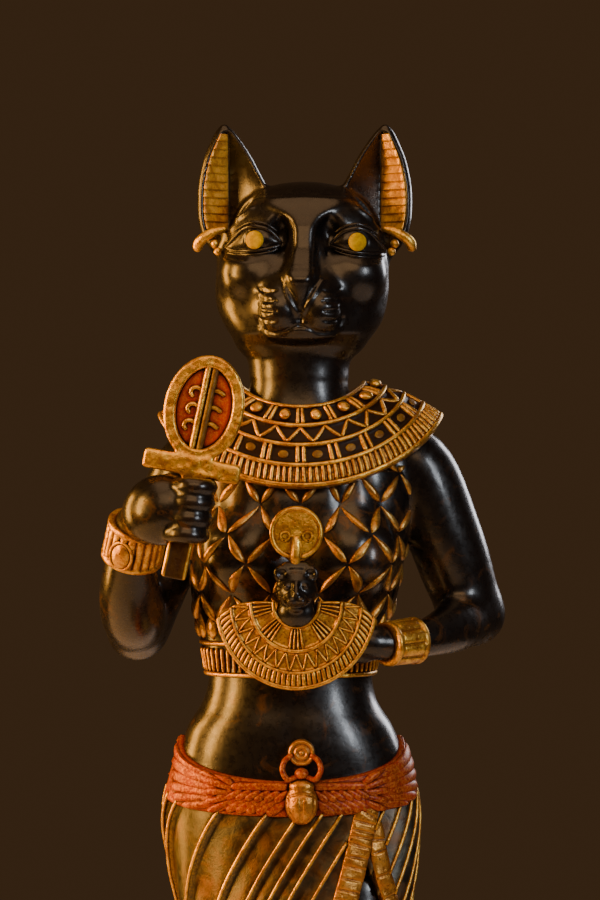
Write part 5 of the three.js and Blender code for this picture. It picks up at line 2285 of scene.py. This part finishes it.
def makeBeetle():
    form = beetleForm
    clay = Clay(*form["box"], form["cell"])
    clay.add(ball(*form["body"]))
    clay.add(ball(*form["neck"]), 0.3)
    clay.soften()
    for side in bothSides:
        clay.cut(laidLine(clay, mirrored(form["parting"], side), 0), 0.1)
    clay.cut(laidLine(clay, form["collar"], 0), 0.1)
    for side in bothSides:
        clay.cut(laidLine(clay, mirrored(form["wingRim"], side), 0), 0.1)
    shells = [clay.skin(), spun(form["discRows"], 40, form["disc"], *np.eye(3)[[0, 2, 1]])]
    addPiece("beetle", [moved(shell, form["middle"]) for shell in shells], "sashGold")
    legs = [dome(*form["head"])]
    for side in bothSides:
        legs.append(tube(flowing(mirrored(form["leg"], side), 8), form["legRadius"], 9))
    addPiece("beetleLegs", [moved(shell, form["middle"]) for shell in legs], "redFeathers")


# Gold in the ears, and her earrings

earringForm = {
    # Counted from the ears' middle
    "horn": [
        [15.4, -6.2, 249.7, 0.6],
        [17.4, -6.4, 249.1, 0.85],
        [19.2, -6.2, 248.1, 1.0],
        [20.2, -5.8, 247.1, 1.05],
        [20.5, -5.4, 246.3, 0.95],
    ],
    "drops": [([17.2, -6.0, 246.9], [0.85, 0.8, 0.9]), ([16.6, -6.2, 245.4], [0.8, 0.7, 0.8])],
}


def makeEars():
    shells = []
    levels = np.linspace(earCup["bottom"] + 0.3, earCup["top"] - 0.4, 190)
    middle, half = np.moveaxis(earAt(levels), -1, 0)[:2]
    outer = middle + half - earCup["outerRim"] - 0.15
    inner = np.minimum(np.full_like(outer, earCup["crease"] + 0.05), outer - 0.3)
    t = np.linspace(0, 1, 16)
    across = mix(inner[:, None], outer[:, None], t[None])
    z = np.broadcast_to(levels[:, None], across.shape)
    phase = (levels - levels[0]) / (levels[-1] - levels[0]) * earCup["ribs"] % 1
    rib = earCup["rib"] * smooth(phase / 0.18) * (1 - 0.75 * phase)  # tiles, thicker at the foot
    edge = smooth(np.minimum(t, 1 - t) / 0.12)
    floor = earLine(across, z)
    for side in bothSides:
        x = headForm["earMiddle"] + side * across
        face = stacked(x, floor - 0.25 - rib[:, None] * edge[None], z)
        shells.append(slab(face, stacked(x, floor + 0.5, z)))
    addPiece("earGold", shells, "earPaint")

    shells = []
    for side in bothSides:
        horn = flowing(mirrored(earringForm["horn"], side, headForm["earMiddle"]), 8)
        shells.append(tube(horn[:, :3], horn[:, 3], 12))
        for place, radii in earringForm["drops"]:
            shells.append(dome(mirrored([place], side, headForm["earMiddle"])[0], radii))
    addPiece("earrings", shells, "brightGold")


# Studio: a pale floor, a warm soft light at her right hand, a cool one at her left

studio = {
    "eye": (-0.39, -691.5, 222),  # mm
    "target": (-0.39, 8.5, 218),
    "viewHeight": 14.15,  # degrees, from the top of the picture to its foot
    "floorHalf": 330,
    "world": (0.042, 0.022, 0.01),
    "paper": ((0.6, 0.575, 0.54), (0.64, 0.615, 0.58)),
    # Each light's place and aim, its size in mm, its power and colour
    "lights": {
        "warmKey": ((-560, -240, 300), (0, 0, 190), (150, 400), 6, (1.0, 0.46, 0.09)),
        "coolFill": ((450, -470, 340), (0, 0, 190), (90, 220), 1.3, (0.86, 0.92, 1.0)),
        "softFront": ((0, -560, 560), (0, 0, 215), (520, 380), 1.5, (1.0, 0.57, 0.26)),
        "softTop": ((0, -160, 760), (0, 0, 240), (560, 420), 1.1, (1.0, 0.57, 0.28)),
        "warmRim": ((-560, 170, 240), (0, 0, 190), (180, 460), 5.4, (1.0, 0.43, 0.07)),
        "backSoft": ((420, 520, 420), (0, 0, 190), (240, 340), 2.1, (0.95, 0.94, 1.0)),
    },
}


def aimed(name, data, place, aim):
    # An object at a place, in mm, that looks at another.
    made = newObject(name, data)
    made.location = Vector(place) / 1000
    way = (Vector(aim) - Vector(place)) / 1000
    made.rotation_euler = way.to_track_quat("-Z", "Y").to_euler()
    return made


def makeCamera():
    camera = bpy.data.cameras.new("camera")
    camera.sensor_fit = "VERTICAL"
    camera.lens = camera.sensor_height / 2 / math.tan(studio["viewHeight"] * degree / 2)
    camera.clip_start = 0.01
    camera.clip_end = 20
    bpy.context.scene.camera = aimed("camera", camera, studio["eye"], studio["target"])


def makeLight(name, place, aim, size, power, colour):
    light = bpy.data.lights.new(name, "AREA")
    light.shape = "RECTANGLE"
    light.size, light.size_y = size[0] / 1000, size[1] / 1000
    light.energy = power
    light.color = colour
    aimed(name, light, place, aim)


def makeStudio():
    half = studio["floorHalf"] / 1000
    turns = roundTurns(64)
    points = np.column_stack([half * np.cos(turns), half * np.sin(turns), turns * 0])
    mesh = newMesh("floor", points, [np.arange(len(points))[None]])
    made = Finish("palePaper")
    tone = made.between(made.noise(60, 3), 0.3, 0.7)
    paper = {"Base Color": made.blend(tone, *studio["paper"]), "Roughness": 0.8}
    mesh.materials.append(made.finish(paper))
    floor = newObject("floor", mesh)
    world = bpy.data.worlds.new("studio")
    world.use_nodes = True
    world.node_tree.nodes["Background"].inputs["Color"].default_value = (*studio["world"], 1)
    bpy.context.scene.world = world
    for name, values in studio["lights"].items():
        makeLight(name, *values)


def makeFigure():
    makeFinishes()
    makeStamps()
    makeHead()
    makeEars()
    torso = makeSkin()
    makeCollar()
    makeCorselet(torso)
    makeSkirt()
    makeSash()
    makeBelt()
    makeLegs()
    makePlinth()
    makeShield()
    makeCross()
    makeBracelets()
    makeBeetle()
    clearStamps()


makeFigure()
makeStudio()
makeCamera()
report("studio")
print("triangles:", sum(triangleCounts.values()), triangleCounts)
